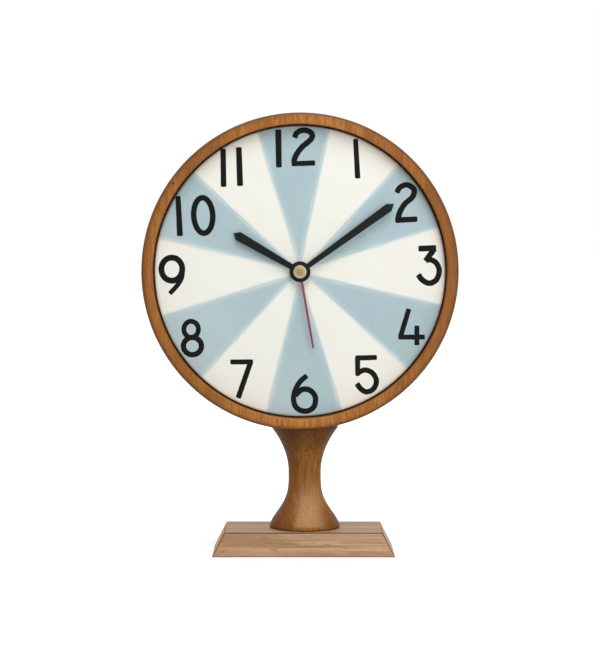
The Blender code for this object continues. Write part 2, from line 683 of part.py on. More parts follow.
def make_hands(minute_axis, hour_axis, seconds_axis):
    """The three hands and the brass cap, at the time that the clock shows.

    Their heights are counted from the ring's centre, and their axes start at the case front.
    """
    hour = hand_outline(
        HOUR_HAND_LENGTH, HOUR_HAND_ROOT_WIDTH, HOUR_HAND_END_WIDTH, HOUR_HAND_POINT, HOUR_BOSS_RADIUS
    )
    hour_bore = circle(HOUR_TUBE_RADIUS + RUNNING_GAP, TUBE_SIDES)
    mesh = flat_plate("hour_hand", [hour, hour_bore], HOUR_HAND_BACK, HOUR_HAND_BACK + HAND_THICKNESS)
    turn = (0.0, 0.0, -math.radians(HOUR_HAND_ANGLE))
    place("hour_hand", mesh, "black_enamel", hour_axis, TO_RING_CENTRE, turn)

    minute = hand_outline(
        MINUTE_HAND_LENGTH,
        MINUTE_HAND_ROOT_WIDTH,
        MINUTE_HAND_END_WIDTH,
        MINUTE_HAND_POINT,
        MINUTE_BOSS_RADIUS,
    )
    minute_bore = circle(MINUTE_TUBE_RADIUS + RUNNING_GAP, TUBE_SIDES)
    mesh = flat_plate(
        "minute_hand", [minute, minute_bore], MINUTE_HAND_BACK, MINUTE_HAND_BACK + HAND_THICKNESS
    )
    turn = (0.0, 0.0, -math.radians(MINUTE_HAND_ANGLE))
    place("minute_hand", mesh, "black_enamel", minute_axis, TO_RING_CENTRE, turn)

    half = SECOND_HAND_WIDTH / 2
    join = math.degrees(math.asin(half / SECOND_BOSS_RADIUS))
    second = arc(SHAFT, SECOND_BOSS_RADIUS, 90.0 + join, 450.0 - join, TUBE_SIDES)
    second += [(half, SECOND_HAND_LENGTH), (-half, SECOND_HAND_LENGTH)]
    second_bore = circle(SECONDS_ARBOR_RADIUS + RUNNING_GAP, PIN_SIDES)
    mesh = flat_plate(
        "second_hand", [second, second_bore], SECOND_HAND_BACK, SECOND_HAND_BACK + SECOND_HAND_THICKNESS
    )
    turn = (0.0, 0.0, -math.radians(SECOND_HAND_ANGLE))
    place("second_hand", mesh, "red_enamel", seconds_axis, TO_RING_CENTRE, turn)

    top = CAP_BACK + CAP_HEIGHT
    bore = SECONDS_ARBOR_RADIUS + RUNNING_GAP
    profile = [
        (0.0, top + CAP_PEAK_HEIGHT),
        (CAP_RADIUS - CAP_CHAMFER, top),
        (CAP_RADIUS, top - CAP_CHAMFER),
        (CAP_RADIUS, CAP_BACK),
        (bore, CAP_BACK),
        (bore, CAP_BACK + CAP_BORE_DEPTH),
        (0.0, CAP_BACK + CAP_BORE_DEPTH),
    ]
    turned("second_cap", profile, CAP_SIDES, "turned_brass", seconds_axis, TO_RING_CENTRE)


def make_clamping(dial_axis):
    """Washer and nut in front of the dial, and the gasket behind it."""
    bore = BUSH_RADIUS + SEAT_GAP
    outlines = [circle(WASHER_RADIUS, WASHER_SIDES), circle(bore, TUBE_SIDES)]
    mesh = flat_plate("nut_washer", outlines, WASHER_BACK, WASHER_BACK + WASHER_THICKNESS)
    place("nut_washer", mesh, "steel", dial_axis)
    corner = NUT_ACROSS_FLATS / 2 / math.cos(math.pi / NUT_SIDES)
    outlines = [circle(corner, NUT_SIDES), circle(bore, TUBE_SIDES)]
    mesh = flat_plate("mounting_nut", outlines, NUT_BACK, NUT_BACK + NUT_HEIGHT)
    place("mounting_nut", mesh, "turned_brass", dial_axis)
    outlines = [circle(GASKET_RADIUS, WASHER_SIDES), circle(bore, TUBE_SIDES)]
    back = CASE_FRONT + SEAT_GAP
    mesh = flat_plate("movement_gasket", outlines, back, back + GASKET_THICKNESS)
    place("movement_gasket", mesh, "black_rubber", dial_axis)


def case_plan(inset=0.0):
    """Outline of the movement case, drawn in by an inset."""
    half = CASE_WIDTH / 2 - inset
    corner = CASE_CORNER_RADIUS - inset
    return rounded_rectangle(-half, half, CASE_BOTTOM + inset, CASE_TOP - inset, corner)


def make_front_case(movement):
    """Front shell of the movement, with the bush, battery cradles and pivot holes."""
    mesh = flat_plate("movement_front_case", [case_plan()], -FRONT_CASE_DEPTH, 0.0)
    case = place("movement_front_case", mesh, "black_plastic", movement)
    deep = -FRONT_CASE_DEPTH - CUT_OVERRUN
    cavity = flat_plate("front_cavity", [case_plan(CASE_WALL)], deep, -FRONT_WALL)
    combine(case, place("front_cavity", cavity, None, movement), "DIFFERENCE")
    bush = cylinder("bush_body", BUSH_RADIUS, -FRONT_WALL / 2, BUSH_END - CASE_FRONT, TUBE_SIDES)
    combine(case, place("bush_body", bush, None, movement), "UNION")
    for number, spot in enumerate(POST_PLACES):
        name = f"front_post_{number}"
        post = cylinder(name, POST_RADIUS, SEAT_GAP - PLATE_FRONT, -FRONT_WALL / 2)
        combine(case, place(name, post, None, movement, (*spot, 0.0)), "UNION")
    for side in (-1, 1):
        name = "right_cradle" if side > 0 else "left_cradle"
        middle = side * CRADLE_SPACING / 2
        low = (middle - CRADLE_THICKNESS / 2, BAY_BOTTOM - CASE_WALL / 2, -FRONT_WALL - CRADLE_DEPTH)
        high = (middle + CRADLE_THICKNESS / 2, BAY_TOP - SEAT_GAP, -FRONT_WALL / 2)
        combine(case, place(name, box(name, low, high), None, movement), "UNION")
    half = BATTERY_LENGTH / 2
    cell = cylinder("cradle_cut", BATTERY_RADIUS + SEAT_GAP / 2, -half, half, BATTERY_SIDES)
    spot = (0.0, BATTERY_HEIGHT, -BATTERY_DEPTH)
    turn = (0.0, math.radians(90.0), 0.0)
    combine(case, place("cradle_cut", cell, None, movement, spot, turn), "DIFFERENCE")
    high = BUSH_END - CASE_FRONT + CUT_OVERRUN
    bore = cylinder("bush_bore", BUSH_BORE, -FRONT_WALL - CUT_OVERRUN, high, TUBE_SIDES)
    combine(case, place("bush_bore", bore, None, movement), "DIFFERENCE")
    for name, spot in (("work_front_pivot", WORK_PLACE), ("third_front_pivot", THIRD_PLACE)):
        hole = cylinder(name, PIVOT_BORE, -FRONT_WALL - CUT_OVERRUN, PIVOT_DEPTH - FRONT_WALL)
        combine(case, place(name, hole, None, movement, (*spot, 0.0)), "DIFFERENCE")


def make_rear_case(movement):
    """Rear shell of the movement, with the open battery bay, bosses and posts."""
    back = -CASE_DEPTH
    inside = -REAR_WALL_INSIDE
    mesh = flat_plate("movement_rear_case", [case_plan()], back, -CASE_SPLIT)
    case = place("movement_rear_case", mesh, "black_plastic", movement)
    cavity = flat_plate("rear_cavity", [case_plan(CASE_WALL)], inside, CUT_OVERRUN - CASE_SPLIT)
    combine(case, place("rear_cavity", cavity, None, movement), "DIFFERENCE")
    half = CASE_INSIDE_HALF - CONTACT_ROOM
    low = (-half, BAY_TOP, inside - REAR_WALL / 2)
    high = (half, BAY_TOP + BAY_CEILING, -FRONT_WALL - SEAT_GAP)
    combine(case, place("bay_ceiling", box("bay_ceiling", low, high), None, movement), "UNION")
    half = CASE_INSIDE_HALF - CONTACT_THICKNESS
    low = (-half, BAY_BOTTOM, back - CUT_OVERRUN)
    high = (half, BAY_TOP, inside + CUT_OVERRUN)
    combine(case, place("bay_opening", box("bay_opening", low, high), None, movement), "DIFFERENCE")
    bosses = {
        "third_boss": THIRD_PLACE,
        "seconds_boss": SHAFT,
        "intermediate_boss": INTERMEDIATE_PLACE,
        "rotor_boss": ROTOR_PLACE,
    }
    for name, spot in bosses.items():
        boss = cylinder(name, BOSS_RADIUS, inside - REAR_WALL / 2, -BOSS_TIP)
        combine(case, place(name, boss, None, movement, (*spot, 0.0)), "UNION")
        hole = cylinder(f"{name}_bore", PIVOT_BORE, -BOSS_TIP - BOSS_BORE_DEPTH, CUT_OVERRUN - BOSS_TIP)
        combine(case, place(f"{name}_bore", hole, None, movement, (*spot, 0.0)), "DIFFERENCE")
    for number, spot in enumerate(POST_PLACES):
        name = f"rear_post_{number}"
        post = cylinder(name, POST_RADIUS, inside - REAR_WALL / 2, -PLATE_BACK - SEAT_GAP)
        combine(case, place(name, post, None, movement, (*spot, 0.0)), "UNION")
    hole = cylinder(
        "work_rear_hole", WORK_ARBOR_RADIUS + RUNNING_GAP, back - CUT_OVERRUN, inside + CUT_OVERRUN
    )
    combine(case, place("work_rear_hole", hole, None, movement, (*WORK_PLACE, 0.0)), "DIFFERENCE")


def make_train_plate(movement):
    """Plate between the wheels, with a hole for each arbor that it holds or lets through."""
    outline = rounded_rectangle(
        -PLATE_HALF_WIDTH, PLATE_HALF_WIDTH, PLATE_BOTTOM, PLATE_TOP, CASE_CORNER_RADIUS - CASE_WALL
    )
    holes = [
        circle(MINUTE_TUBE_RADIUS + RUNNING_GAP, TUBE_SIDES),
        circle(WORK_ARBOR_RADIUS + RUNNING_GAP, PIN_SIDES, WORK_PLACE),
        circle(PIVOT_BORE, PIN_SIDES, THIRD_PLACE),
        circle(PIVOT_BORE, PIN_SIDES, INTERMEDIATE_PLACE),
        circle(PIVOT_BORE, PIN_SIDES, ROTOR_PLACE),
    ]
    mesh = flat_plate("train_plate", [outline] + holes, -PLATE_BACK, -PLATE_FRONT)
    place("train_plate", mesh, "white_plastic", movement)


def mesh_phase(driver_teeth, driver_phase, driven_teeth, direction):
    """Angle of a tooth of the driven gear, so that it meshes with the driver's teeth.

    The direction points from the driver's axis to the driven gear's axis, in radians.
    """
    lead = (direction - driver_phase) * driver_teeth / driven_teeth
    return direction + math.pi + math.pi / driven_teeth + lead


def gear_outline(teeth, partner, spacing, phase):
    """Outline of a spur gear that meshes with its partner, from the spacing of their arbors."""
    pitch = pitch_radius(teeth, partner, spacing)
    root = pitch - DEDENDUM_SHARE * tooth_module(pitch, teeth)
    tip = tip_radius(teeth, partner, spacing)
    step = math.tau / teeth
    outline = []
    for i in range(teeth):
        middle = phase + i * step
        for radius, share in (
            (root, -TOOTH_ROOT_SHARE),
            (tip, -TOOTH_TIP_SHARE),
            (tip, TOOTH_TIP_SHARE),
            (root, TOOTH_ROOT_SHARE),
        ):
            angle = middle + share * step
            outline.append((radius * math.cos(angle), radius * math.sin(angle)))
    return outline


def gear_plate(name, outline, number, bore=None):
    """A gear's plate in its layer, with a round bore if it has one."""
    outlines = [outline]
    if bore:
        outlines.append(circle(bore, TUBE_SIDES))
    return flat_plate(name, outlines, -layer(number) - WHEEL_THICKNESS, -layer(number))


def leaves_span(pinion_layer, wheel_layer):
    """Rear and front heights of a pinion, which runs into its wheel unless the plate parts them."""
    front = -layer(pinion_layer)
    rear = front - WHEEL_THICKNESS
    plate_between = pinion_layer < THIRD_LAYER <= wheel_layer
    if not plate_between:
        rear = -layer(wheel_layer) - WHEEL_THICKNESS / 2
    return rear, front


def arbor_wheel(name, axis, wheel, wheel_layer, pinion, pinion_layer, arbor):
    """A wheel, the pinion in front of it and their arbor, as one moulding in white plastic.

    The arbor is given as its radius, rear end and front end, heights over the case front.
    """
    body = place(name, gear_plate(name, wheel, wheel_layer), "white_plastic", axis)
    if pinion:
        leaves = flat_plate(f"{name}_leaves", [pinion], *leaves_span(pinion_layer, wheel_layer))
        combine(body, place(f"{name}_leaves", leaves, None, axis), "UNION")
    radius, rear, front = arbor
    pin = cylinder(f"{name}_arbor", radius, rear, front)
    combine(body, place(f"{name}_arbor", pin, None, axis), "UNION")
    return body


def make_going_train(movement, seconds_axis):
    """Seconds wheel, third wheel, centre wheel, intermediate wheel and rotor, in mesh."""
    third_direction = math.radians(THIRD_BEARING)
    motor_direction = math.radians(MOTOR_BEARING)
    rear = -BOSS_TIP - BOSS_BORE_DEPTH + RUNNING_GAP
    arbor = (SECONDS_ARBOR_RADIUS, rear, SECONDS_ARBOR_END - CASE_FRONT)
    wheel = gear_outline(SECONDS_WHEEL_TEETH, PINION_LEAVES, INTERMEDIATE_ARBOR_SPACING, 0.0)
    pinion = gear_outline(PINION_LEAVES, THIRD_WHEEL_TEETH, THIRD_ARBOR_SPACING, 0.0)
    arbor_wheel("seconds_wheel", seconds_axis, wheel, SECONDS_LAYER, pinion, THIRD_LAYER, arbor)

    third_axis = axis_empty("third_axis", movement, (*THIRD_PLACE, 0.0))
    phase = mesh_phase(PINION_LEAVES, 0.0, THIRD_WHEEL_TEETH, third_direction)
    wheel = gear_outline(THIRD_WHEEL_TEETH, PINION_LEAVES, THIRD_ARBOR_SPACING, phase)
    pinion = gear_outline(PINION_LEAVES, CENTRE_WHEEL_TEETH, THIRD_ARBOR_SPACING, 0.0)
    arbor = (PIVOT_RADIUS, rear, PIVOT_DEPTH - FRONT_WALL - RUNNING_GAP)
    arbor_wheel("third_wheel", third_axis, wheel, THIRD_LAYER, pinion, CENTRE_LAYER, arbor)

    centre_axis = axis_empty("centre_axis", movement)
    phase = mesh_phase(PINION_LEAVES, 0.0, CENTRE_WHEEL_TEETH, third_direction + math.pi)
    wheel = gear_outline(CENTRE_WHEEL_TEETH, PINION_LEAVES, THIRD_ARBOR_SPACING, phase)
    plate = gear_plate("centre_wheel", wheel, CENTRE_LAYER, MINUTE_TUBE_RADIUS + RUNNING_GAP)
    place("centre_wheel", plate, "white_plastic", centre_axis)

    intermediate_axis = axis_empty("intermediate_axis", movement, (*INTERMEDIATE_PLACE, 0.0))
    wheel = gear_outline(INTERMEDIATE_WHEEL_TEETH, PINION_LEAVES, ROTOR_ARBOR_SPACING, 0.0)
    phase = mesh_phase(SECONDS_WHEEL_TEETH, 0.0, PINION_LEAVES, motor_direction)
    pinion = gear_outline(PINION_LEAVES, SECONDS_WHEEL_TEETH, INTERMEDIATE_ARBOR_SPACING, phase)
    arbor = (PIVOT_RADIUS, rear, RUNNING_GAP - PLATE_FRONT - SEAT_GAP)
    arbor_wheel("intermediate_wheel", intermediate_axis, wheel, MOTOR_LAYER, pinion, SECONDS_LAYER, arbor)

    rotor_axis = axis_empty("rotor_axis", movement, (*ROTOR_PLACE, 0.0))
    phase = mesh_phase(INTERMEDIATE_WHEEL_TEETH, 0.0, PINION_LEAVES, motor_direction)
    pinion = gear_outline(PINION_LEAVES, INTERMEDIATE_WHEEL_TEETH, ROTOR_ARBOR_SPACING, phase)
    arbor_wheel("rotor_pinion", rotor_axis, pinion, MOTOR_LAYER, None, MOTOR_LAYER, arbor)
    outlines = [circle(MAGNET_RADIUS, TUBE_SIDES), circle(PIVOT_RADIUS + RUNNING_GAP, PIN_SIDES)]
    front = -STATOR_FRONT
    magnet = flat_plate("rotor_magnet", outlines, front - MAGNET_LENGTH, front)
    place("rotor_magnet", magnet, "ferrite", rotor_axis)


def make_motion_work(movement, minute_axis, hour_axis):
    """Cannon pinion, minute work wheel with the setting knob, and hour wheel, in mesh."""
    direction = math.radians(WORK_BEARING)
    pinion = gear_outline(PINION_LEAVES, WORK_WHEEL_TEETH, WORK_ARBOR_SPACING, 0.0)
    plate = gear_plate("cannon_pinion", pinion, WORK_LAYER)
    cannon = place("cannon_pinion", plate, "white_plastic", minute_axis)
    rear = -PLATE_BACK
    front = MINUTE_TUBE_END - CASE_FRONT
    tube = cylinder("minute_tube", MINUTE_TUBE_RADIUS, rear, front, TUBE_SIDES)
    combine(cannon, place("minute_tube", tube, None, minute_axis), "UNION")
    bore = cylinder("minute_bore", MINUTE_TUBE_BORE, rear - CUT_OVERRUN, front + CUT_OVERRUN)
    combine(cannon, place("minute_bore", bore, None, minute_axis), "DIFFERENCE")

    work_axis = axis_empty("work_axis", movement, (*WORK_PLACE, 0.0))
    phase = mesh_phase(PINION_LEAVES, 0.0, WORK_WHEEL_TEETH, direction)
    wheel = gear_outline(WORK_WHEEL_TEETH, PINION_LEAVES, WORK_ARBOR_SPACING, phase)
    pinion = gear_outline(PINION_LEAVES, HOUR_WHEEL_TEETH, WORK_ARBOR_SPACING, 0.0)
    knob_front = -CASE_DEPTH - SEAT_GAP
    arbor_rear = knob_front - KNOB_BORE_DEPTH + RUNNING_GAP
    arbor = (WORK_ARBOR_RADIUS, arbor_rear, RUNNING_GAP - FRONT_WALL - SEAT_GAP)
    work = arbor_wheel("minute_work_wheel", work_axis, wheel, WORK_LAYER, pinion, HOUR_LAYER, arbor)
    pin_rear = -layer(HOUR_LAYER) - WHEEL_THICKNESS
    pin_front = PIVOT_DEPTH - FRONT_WALL - RUNNING_GAP
    pin = cylinder("work_front_pin", PIVOT_RADIUS, pin_rear, pin_front)
    combine(work, place("work_front_pin", pin, None, work_axis), "UNION")

    phase = mesh_phase(PINION_LEAVES, 0.0, HOUR_WHEEL_TEETH, direction + math.pi)
    wheel = gear_outline(HOUR_WHEEL_TEETH, PINION_LEAVES, WORK_ARBOR_SPACING, phase)
    hour = place("hour_wheel", gear_plate("hour_wheel", wheel, HOUR_LAYER), "white_plastic", hour_axis)
    rear = -layer(HOUR_LAYER) - WHEEL_THICKNESS / 2
    front = HOUR_TUBE_END - CASE_FRONT
    tube = cylinder("hour_tube", HOUR_TUBE_RADIUS, rear, front, TUBE_SIDES)
    combine(hour, place("hour_tube", tube, None, hour_axis), "UNION")
    bore = cylinder("hour_bore", HOUR_TUBE_BORE, rear - CUT_OVERRUN, front + CUT_OVERRUN, TUBE_SIDES)
    combine(hour, place("hour_bore", bore, None, hour_axis), "DIFFERENCE")

    grip = []
    step = math.tau / KNOB_GRIPS
    for i in range(KNOB_GRIPS):
        for radius, share in (
            (KNOB_RADIUS - KNOB_GRIP_DEPTH, -KNOB_GRIP_SHARE),
            (KNOB_RADIUS, -KNOB_GRIP_SHARE / 2),
            (KNOB_RADIUS, KNOB_GRIP_SHARE / 2),
            (KNOB_RADIUS - KNOB_GRIP_DEPTH, KNOB_GRIP_SHARE),
        ):
            grip.append((radius * math.cos((i + share) * step), radius * math.sin((i + share) * step)))
    mesh = flat_plate("time_set_knob", [grip], knob_front - KNOB_THICKNESS, knob_front)
    knob = place("time_set_knob", mesh, "black_plastic", work_axis)
    low = knob_front - KNOB_BORE_DEPTH
    bore = cylinder("knob_bore", WORK_ARBOR_RADIUS + RUNNING_GAP, low, knob_front + CUT_OVERRUN)
    combine(knob, place("knob_bore", bore, None, work_axis), "DIFFERENCE")


def make_motor(movement):
    """Stator, core, bobbin and winding of the stepping motor."""
    half = STATOR_WIDTH / 2
    leg = half - STATOR_LEG_WIDTH
    low = ROTOR_PLACE[1] - STATOR_MARGIN
    shoulder = ROTOR_PLACE[1] + STATOR_MARGIN
    top = COIL_HEIGHT + CORE_WIDTH / 2
    outline = [
        (half, low),
        (half, top),
        (leg, top),
        (leg, shoulder),
        (-leg, shoulder),
        (-leg, top),
        (-half, top),
        (-half, low),
    ]
    bore = circle(STATOR_BORE_RADIUS, TUBE_SIDES, ROTOR_PLACE)
    mesh = flat_plate("stator_plate", [outline, bore], -STATOR_BACK, -STATOR_FRONT)
    place("stator_plate", mesh, "motor_iron", movement)

    low_corner = (-half, COIL_HEIGHT - CORE_WIDTH / 2, -CORE_FRONT - CORE_THICKNESS)
    high_corner = (half, COIL_HEIGHT + CORE_WIDTH / 2, -CORE_FRONT)
    place("coil_core", box("coil_core", low_corner, high_corner), "motor_iron", movement)

    half = BOBBIN_LENGTH / 2
    inner = half - BOBBIN_FLANGE_THICKNESS
    spot = (0.0, COIL_HEIGHT, -COIL_DEPTH)
    turn = (0.0, math.radians(90.0), 0.0)
    profile = [
        (0.0, half),
        (BOBBIN_FLANGE_RADIUS, half),
        (BOBBIN_FLANGE_RADIUS, inner),
        (BOBBIN_TUBE_RADIUS, inner),
        (BOBBIN_TUBE_RADIUS, -inner),
        (BOBBIN_FLANGE_RADIUS, -inner),
        (BOBBIN_FLANGE_RADIUS, -half),
        (0.0, -half),
    ]
    bobbin = turned("coil_bobbin", profile, COIL_SIDES, "white_plastic", movement, spot, turn)
    reach = half + CUT_OVERRUN
    low_corner = (-reach, -CORE_WIDTH / 2 - SEAT_GAP, -CORE_THICKNESS / 2 - SEAT_GAP)
    high_corner = (reach, CORE_WIDTH / 2 + SEAT_GAP, CORE_THICKNESS / 2 + SEAT_GAP)
    slot = box("bobbin_slot", low_corner, high_corner)
    combine(bobbin, place("bobbin_slot", slot, None, movement, spot), "DIFFERENCE")
    side = inner - WINDING_GAP
    core = BOBBIN_TUBE_RADIUS + WINDING_GAP
    profile = [(WINDING_RADIUS, side), (WINDING_RADIUS, -side), (core, -side), (core, side)]
    turned("coil_winding", profile, COIL_SIDES, "copper", movement, spot, turn)


def make_board(movement):
    """Circuit board with its chip and its quartz crystal."""
    low_corner = (BOARD_LEFT, BOARD_BOTTOM, -BOARD_BACK)
    high_corner = (BOARD_LEFT + BOARD_WIDTH, BOARD_TOP, -BOARD_FRONT)
    place("circuit_board", box("circuit_board", low_corner, high_corner), "board_green", movement)
    middle = BOARD_LEFT + BOARD_WIDTH / 2
    back = -BOARD_BACK - SEAT_GAP
    height = BOARD_TOP - CHIP_RADIUS - PARTS_SPACING
    profile = [
        (0.0, 0.0),
        (CHIP_RADIUS, 0.0),
        (CHIP_RADIUS * CHIP_SIDE_SHARE, -CHIP_HEIGHT * CHIP_SHOULDER_SHARE),
        (CHIP_RADIUS * CHIP_TOP_SHARE, -CHIP_HEIGHT),
        (0.0, -CHIP_HEIGHT),
    ]
    turned("control_chip", profile, PIN_SIDES, "black_plastic", movement, (middle, height, back))
    edge = CRYSTAL_EDGE_RADIUS
    half = CRYSTAL_LENGTH / 2
    profile = [(0.0, half), (CRYSTAL_RADIUS - edge, half), (CRYSTAL_RADIUS, half - edge)]
    profile += [(CRYSTAL_RADIUS, -half), (0.0, -half)]
    height -= CHIP_RADIUS + PARTS_SPACING + half
    spot = (middle, height, back - CRYSTAL_RADIUS)
    turn = (math.radians(-90.0), 0.0, 0.0)
    turned("quartz_crystal", profile, PIN_SIDES, "steel", movement, spot, turn)


def make_battery(movement):
    """Round cell with its contact strips, plus on the right."""
    half = BATTERY_LENGTH / 2
    shoulder = half - BATTERY_NUB_LENGTH
    edge = BATTERY_EDGE_RADIUS
    profile = [(0.0, half), (BATTERY_NUB_RADIUS, half), (BATTERY_NUB_RADIUS, shoulder)]
    profile += [(BATTERY_RADIUS - edge, shoulder), (BATTERY_RADIUS, shoulder - edge)]
    profile += [(BATTERY_RADIUS, edge - half), (BATTERY_RADIUS - edge, -half), (0.0, -half)]
    spot = (0.0, BATTERY_HEIGHT, -BATTERY_DEPTH)
    turn = (0.0, math.radians(90.0), 0.0)
    turned("battery_cell", profile, BATTERY_SIDES, "battery_sleeve", movement, spot, turn)

    outer = CASE_INSIDE_HALF - SEAT_GAP
    inner = outer - CONTACT_THICKNESS
    tab_back = -BOARD_BACK - SEAT_GAP
    lead_rear = tab_back - CONTACT_LEAD_WIDTH
    foot = BATTERY_HEIGHT - CONTACT_WIDTH / 2
    tab_top = BOARD_BOTTOM + CONTACT_TAB_LENGTH
    strip = box("contact_positive", (inner, foot, lead_rear), (outer, tab_top, tab_back))
    positive = place("contact_positive", strip, "steel", movement)
    low = (outer - CONTACT_TAB_LENGTH, BOARD_BOTTOM, tab_back - CONTACT_THICKNESS)
    tab = box("positive_tab", low, (outer, tab_top, tab_back))
    combine(positive, place("positive_tab", tab, None, movement), "UNION")

    run_low = -SHAFT_TO_BAY + SEAT_GAP
    strip = box("contact_negative", (-outer, foot, lead_rear), (-inner, run_low, tab_back))
    negative = place("contact_negative", strip, "steel", movement)
    run_high = run_low + CONTACT_THICKNESS
    tab_left = BOARD_LEFT + CONTACT_THICKNESS
    tab_right = tab_left + CONTACT_TAB_LENGTH
    low = (-outer, run_low - CONTACT_THICKNESS / 2, lead_rear)
    run = box("negative_run", low, (tab_right, run_high, tab_back))
    combine(negative, place("negative_run", run, None, movement), "UNION")
    low = (tab_left, run_low, tab_back - CONTACT_THICKNESS)
    tab = box("negative_tab", low, (tab_right, tab_top, tab_back))
    combine(negative, place("negative_tab", tab, None, movement), "UNION")

    reach = inner - half - SEAT_GAP
    for side, body in ((1, positive), (-1, negative)):
        name = f"{body.name}_dimple"
        dimple = cylinder(
            name, CONTACT_DIMPLE_RADIUS, -CONTACT_THICKNESS / 2, reach, PIN_SIDES, DIMPLE_TIP_RADIUS
        )
        spot = (side * inner, BATTERY_HEIGHT, (tab_back + lead_rear) / 2)
        turn = (0.0, math.radians(-90.0 * side), 0.0)
        combine(body, place(name, dimple, None, movement, spot, turn), "UNION")


def build_clock():
    """Build every piece."""
    dial_axis = axis_empty("dial_axis", None, (0.0, 0.0, RING_CENTRE), (math.radians(90.0), 0.0, 0.0))
    movement = axis_empty("movement", dial_axis, (0.0, 0.0, CASE_FRONT))
    minute_axis = axis_empty("minute_axis", movement)
    hour_axis = axis_empty("hour_axis", movement)
    seconds_axis = axis_empty("seconds_axis", movement)
    make_base()
    make_stem()
    make_fasteners()
    make_ring(dial_axis)
    make_dial(dial_axis)
    make_clamping(dial_axis)
    make_front_case(movement)
    make_train_plate(movement)
    make_motion_work(movement, minute_axis, hour_axis)
    make_going_train(movement, seconds_axis)
    make_motor(movement)
    make_board(movement)
    make_battery(movement)
    make_rear_case(movement)
    make_hands(minute_axis, hour_axis, seconds_axis)
    bpy.context.view_layer.update()


build_clock()
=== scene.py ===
"""A table clock with a painted dial in a turned wooden ring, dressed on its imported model.

Each class makes or dresses one sub-assembly, or is one finish. Everything is in metres, with
+Z up, the dial facing -Y, and the plinth standing on the floor at zero height.
"""

import logging
import math
from dataclasses import dataclass
from enum import Enum
from typing import Callable, Iterable, Sequence, Union

import bmesh
import bpy
from mathutils import Matrix, Vector


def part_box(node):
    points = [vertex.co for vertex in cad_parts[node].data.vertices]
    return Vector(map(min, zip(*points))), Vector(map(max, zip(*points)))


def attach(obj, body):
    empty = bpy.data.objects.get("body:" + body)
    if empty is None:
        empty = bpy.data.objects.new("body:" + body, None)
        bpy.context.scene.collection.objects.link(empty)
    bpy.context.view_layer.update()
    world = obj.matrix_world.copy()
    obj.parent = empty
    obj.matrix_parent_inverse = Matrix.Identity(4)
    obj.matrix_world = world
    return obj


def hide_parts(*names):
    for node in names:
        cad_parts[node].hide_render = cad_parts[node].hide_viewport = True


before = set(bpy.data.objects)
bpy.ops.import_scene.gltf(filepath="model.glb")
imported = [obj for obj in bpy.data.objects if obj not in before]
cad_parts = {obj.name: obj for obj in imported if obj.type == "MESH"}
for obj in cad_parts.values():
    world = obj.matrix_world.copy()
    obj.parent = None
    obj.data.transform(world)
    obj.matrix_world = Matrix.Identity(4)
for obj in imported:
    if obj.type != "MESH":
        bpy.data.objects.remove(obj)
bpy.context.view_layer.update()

LOG = logging.getLogger("table_clock")
MM = 0.001
TINY = 1e-7
SHARP_ANGLE = math.radians(38.0)
ROUND = 0.5
WHITE = (1.0, 1.0, 1.0, 1.0)

Point = tuple[float, float]
Triple = tuple[float, float, float]
Socket = bpy.types.NodeSocket
Feed = Union[float, int, bool, str, Sequence[float], Socket, "Value", "Tone"]


class Body(Enum):
    """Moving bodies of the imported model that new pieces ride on."""

    CLOCK = "clock_body"
    MINUTE = "minute_work"
    HOUR = "hour_work"
    SECONDS = "seconds_work"
    SETTING = "setting_work"


class Grain(Enum):
    """Direction that a piece of wood's fibres run."""

    UPRIGHT = "upright"
    LENGTHWISE = "lengthwise"


@dataclass(frozen=True)
class Tone:
    """A colour in steps from 0 to 255, as a paint card gives it."""

    red: int
    green: int
    blue: int

    def linear(self) -> tuple[float, float, float, float]:
        """Return the colour on a shader's linear scale, opaque."""
        steps = (self.red / 255, self.green / 255, self.blue / 255)
        return (*(s / 12.92 if s < 0.04045 else ((s + 0.055) / 1.055) ** 2.4 for s in steps), 1.0)


def joining(operation: str, turned_round: bool = False) -> Callable[["Value", Feed], "Value"]:
    """Return what one of the usual signs does with two numbers in a node tree.

    Args:
        operation: Name of the sum, such as MULTIPLY.
        turned_round: Whether the second number comes first.
    """

    def join(first: "Value", second: Feed) -> "Value":
        """Return the result for two numbers.

        Args:
            first: The number before the sign.
            second: The number after it.
        """
        terms = (second, first) if turned_round else (first, second)
        return first.graph.sum_up(operation, *terms)

    return join


class Value:
    """A number in a node tree, which the usual signs join with others."""

    __add__ = joining("ADD")
    __sub__ = joining("SUBTRACT")
    __rsub__ = joining("SUBTRACT", turned_round=True)
    __mul__ = joining("MULTIPLY")
    __truediv__ = joining("DIVIDE")
    __pow__ = joining("POWER")
    at_least = joining("MAXIMUM")
    at_most = joining("MINIMUM")

    def __init__(self, graph: "Graph", socket: Socket) -> None:
        """Take a number.

        Args:
            graph: The tree that it is in.
            socket: The output that gives it.
        """
        self.graph = graph
        self.socket = socket

    def __abs__(self) -> "Value":
        """Return the number without its sign."""
        return self.graph.sum_up("ABSOLUTE", self)


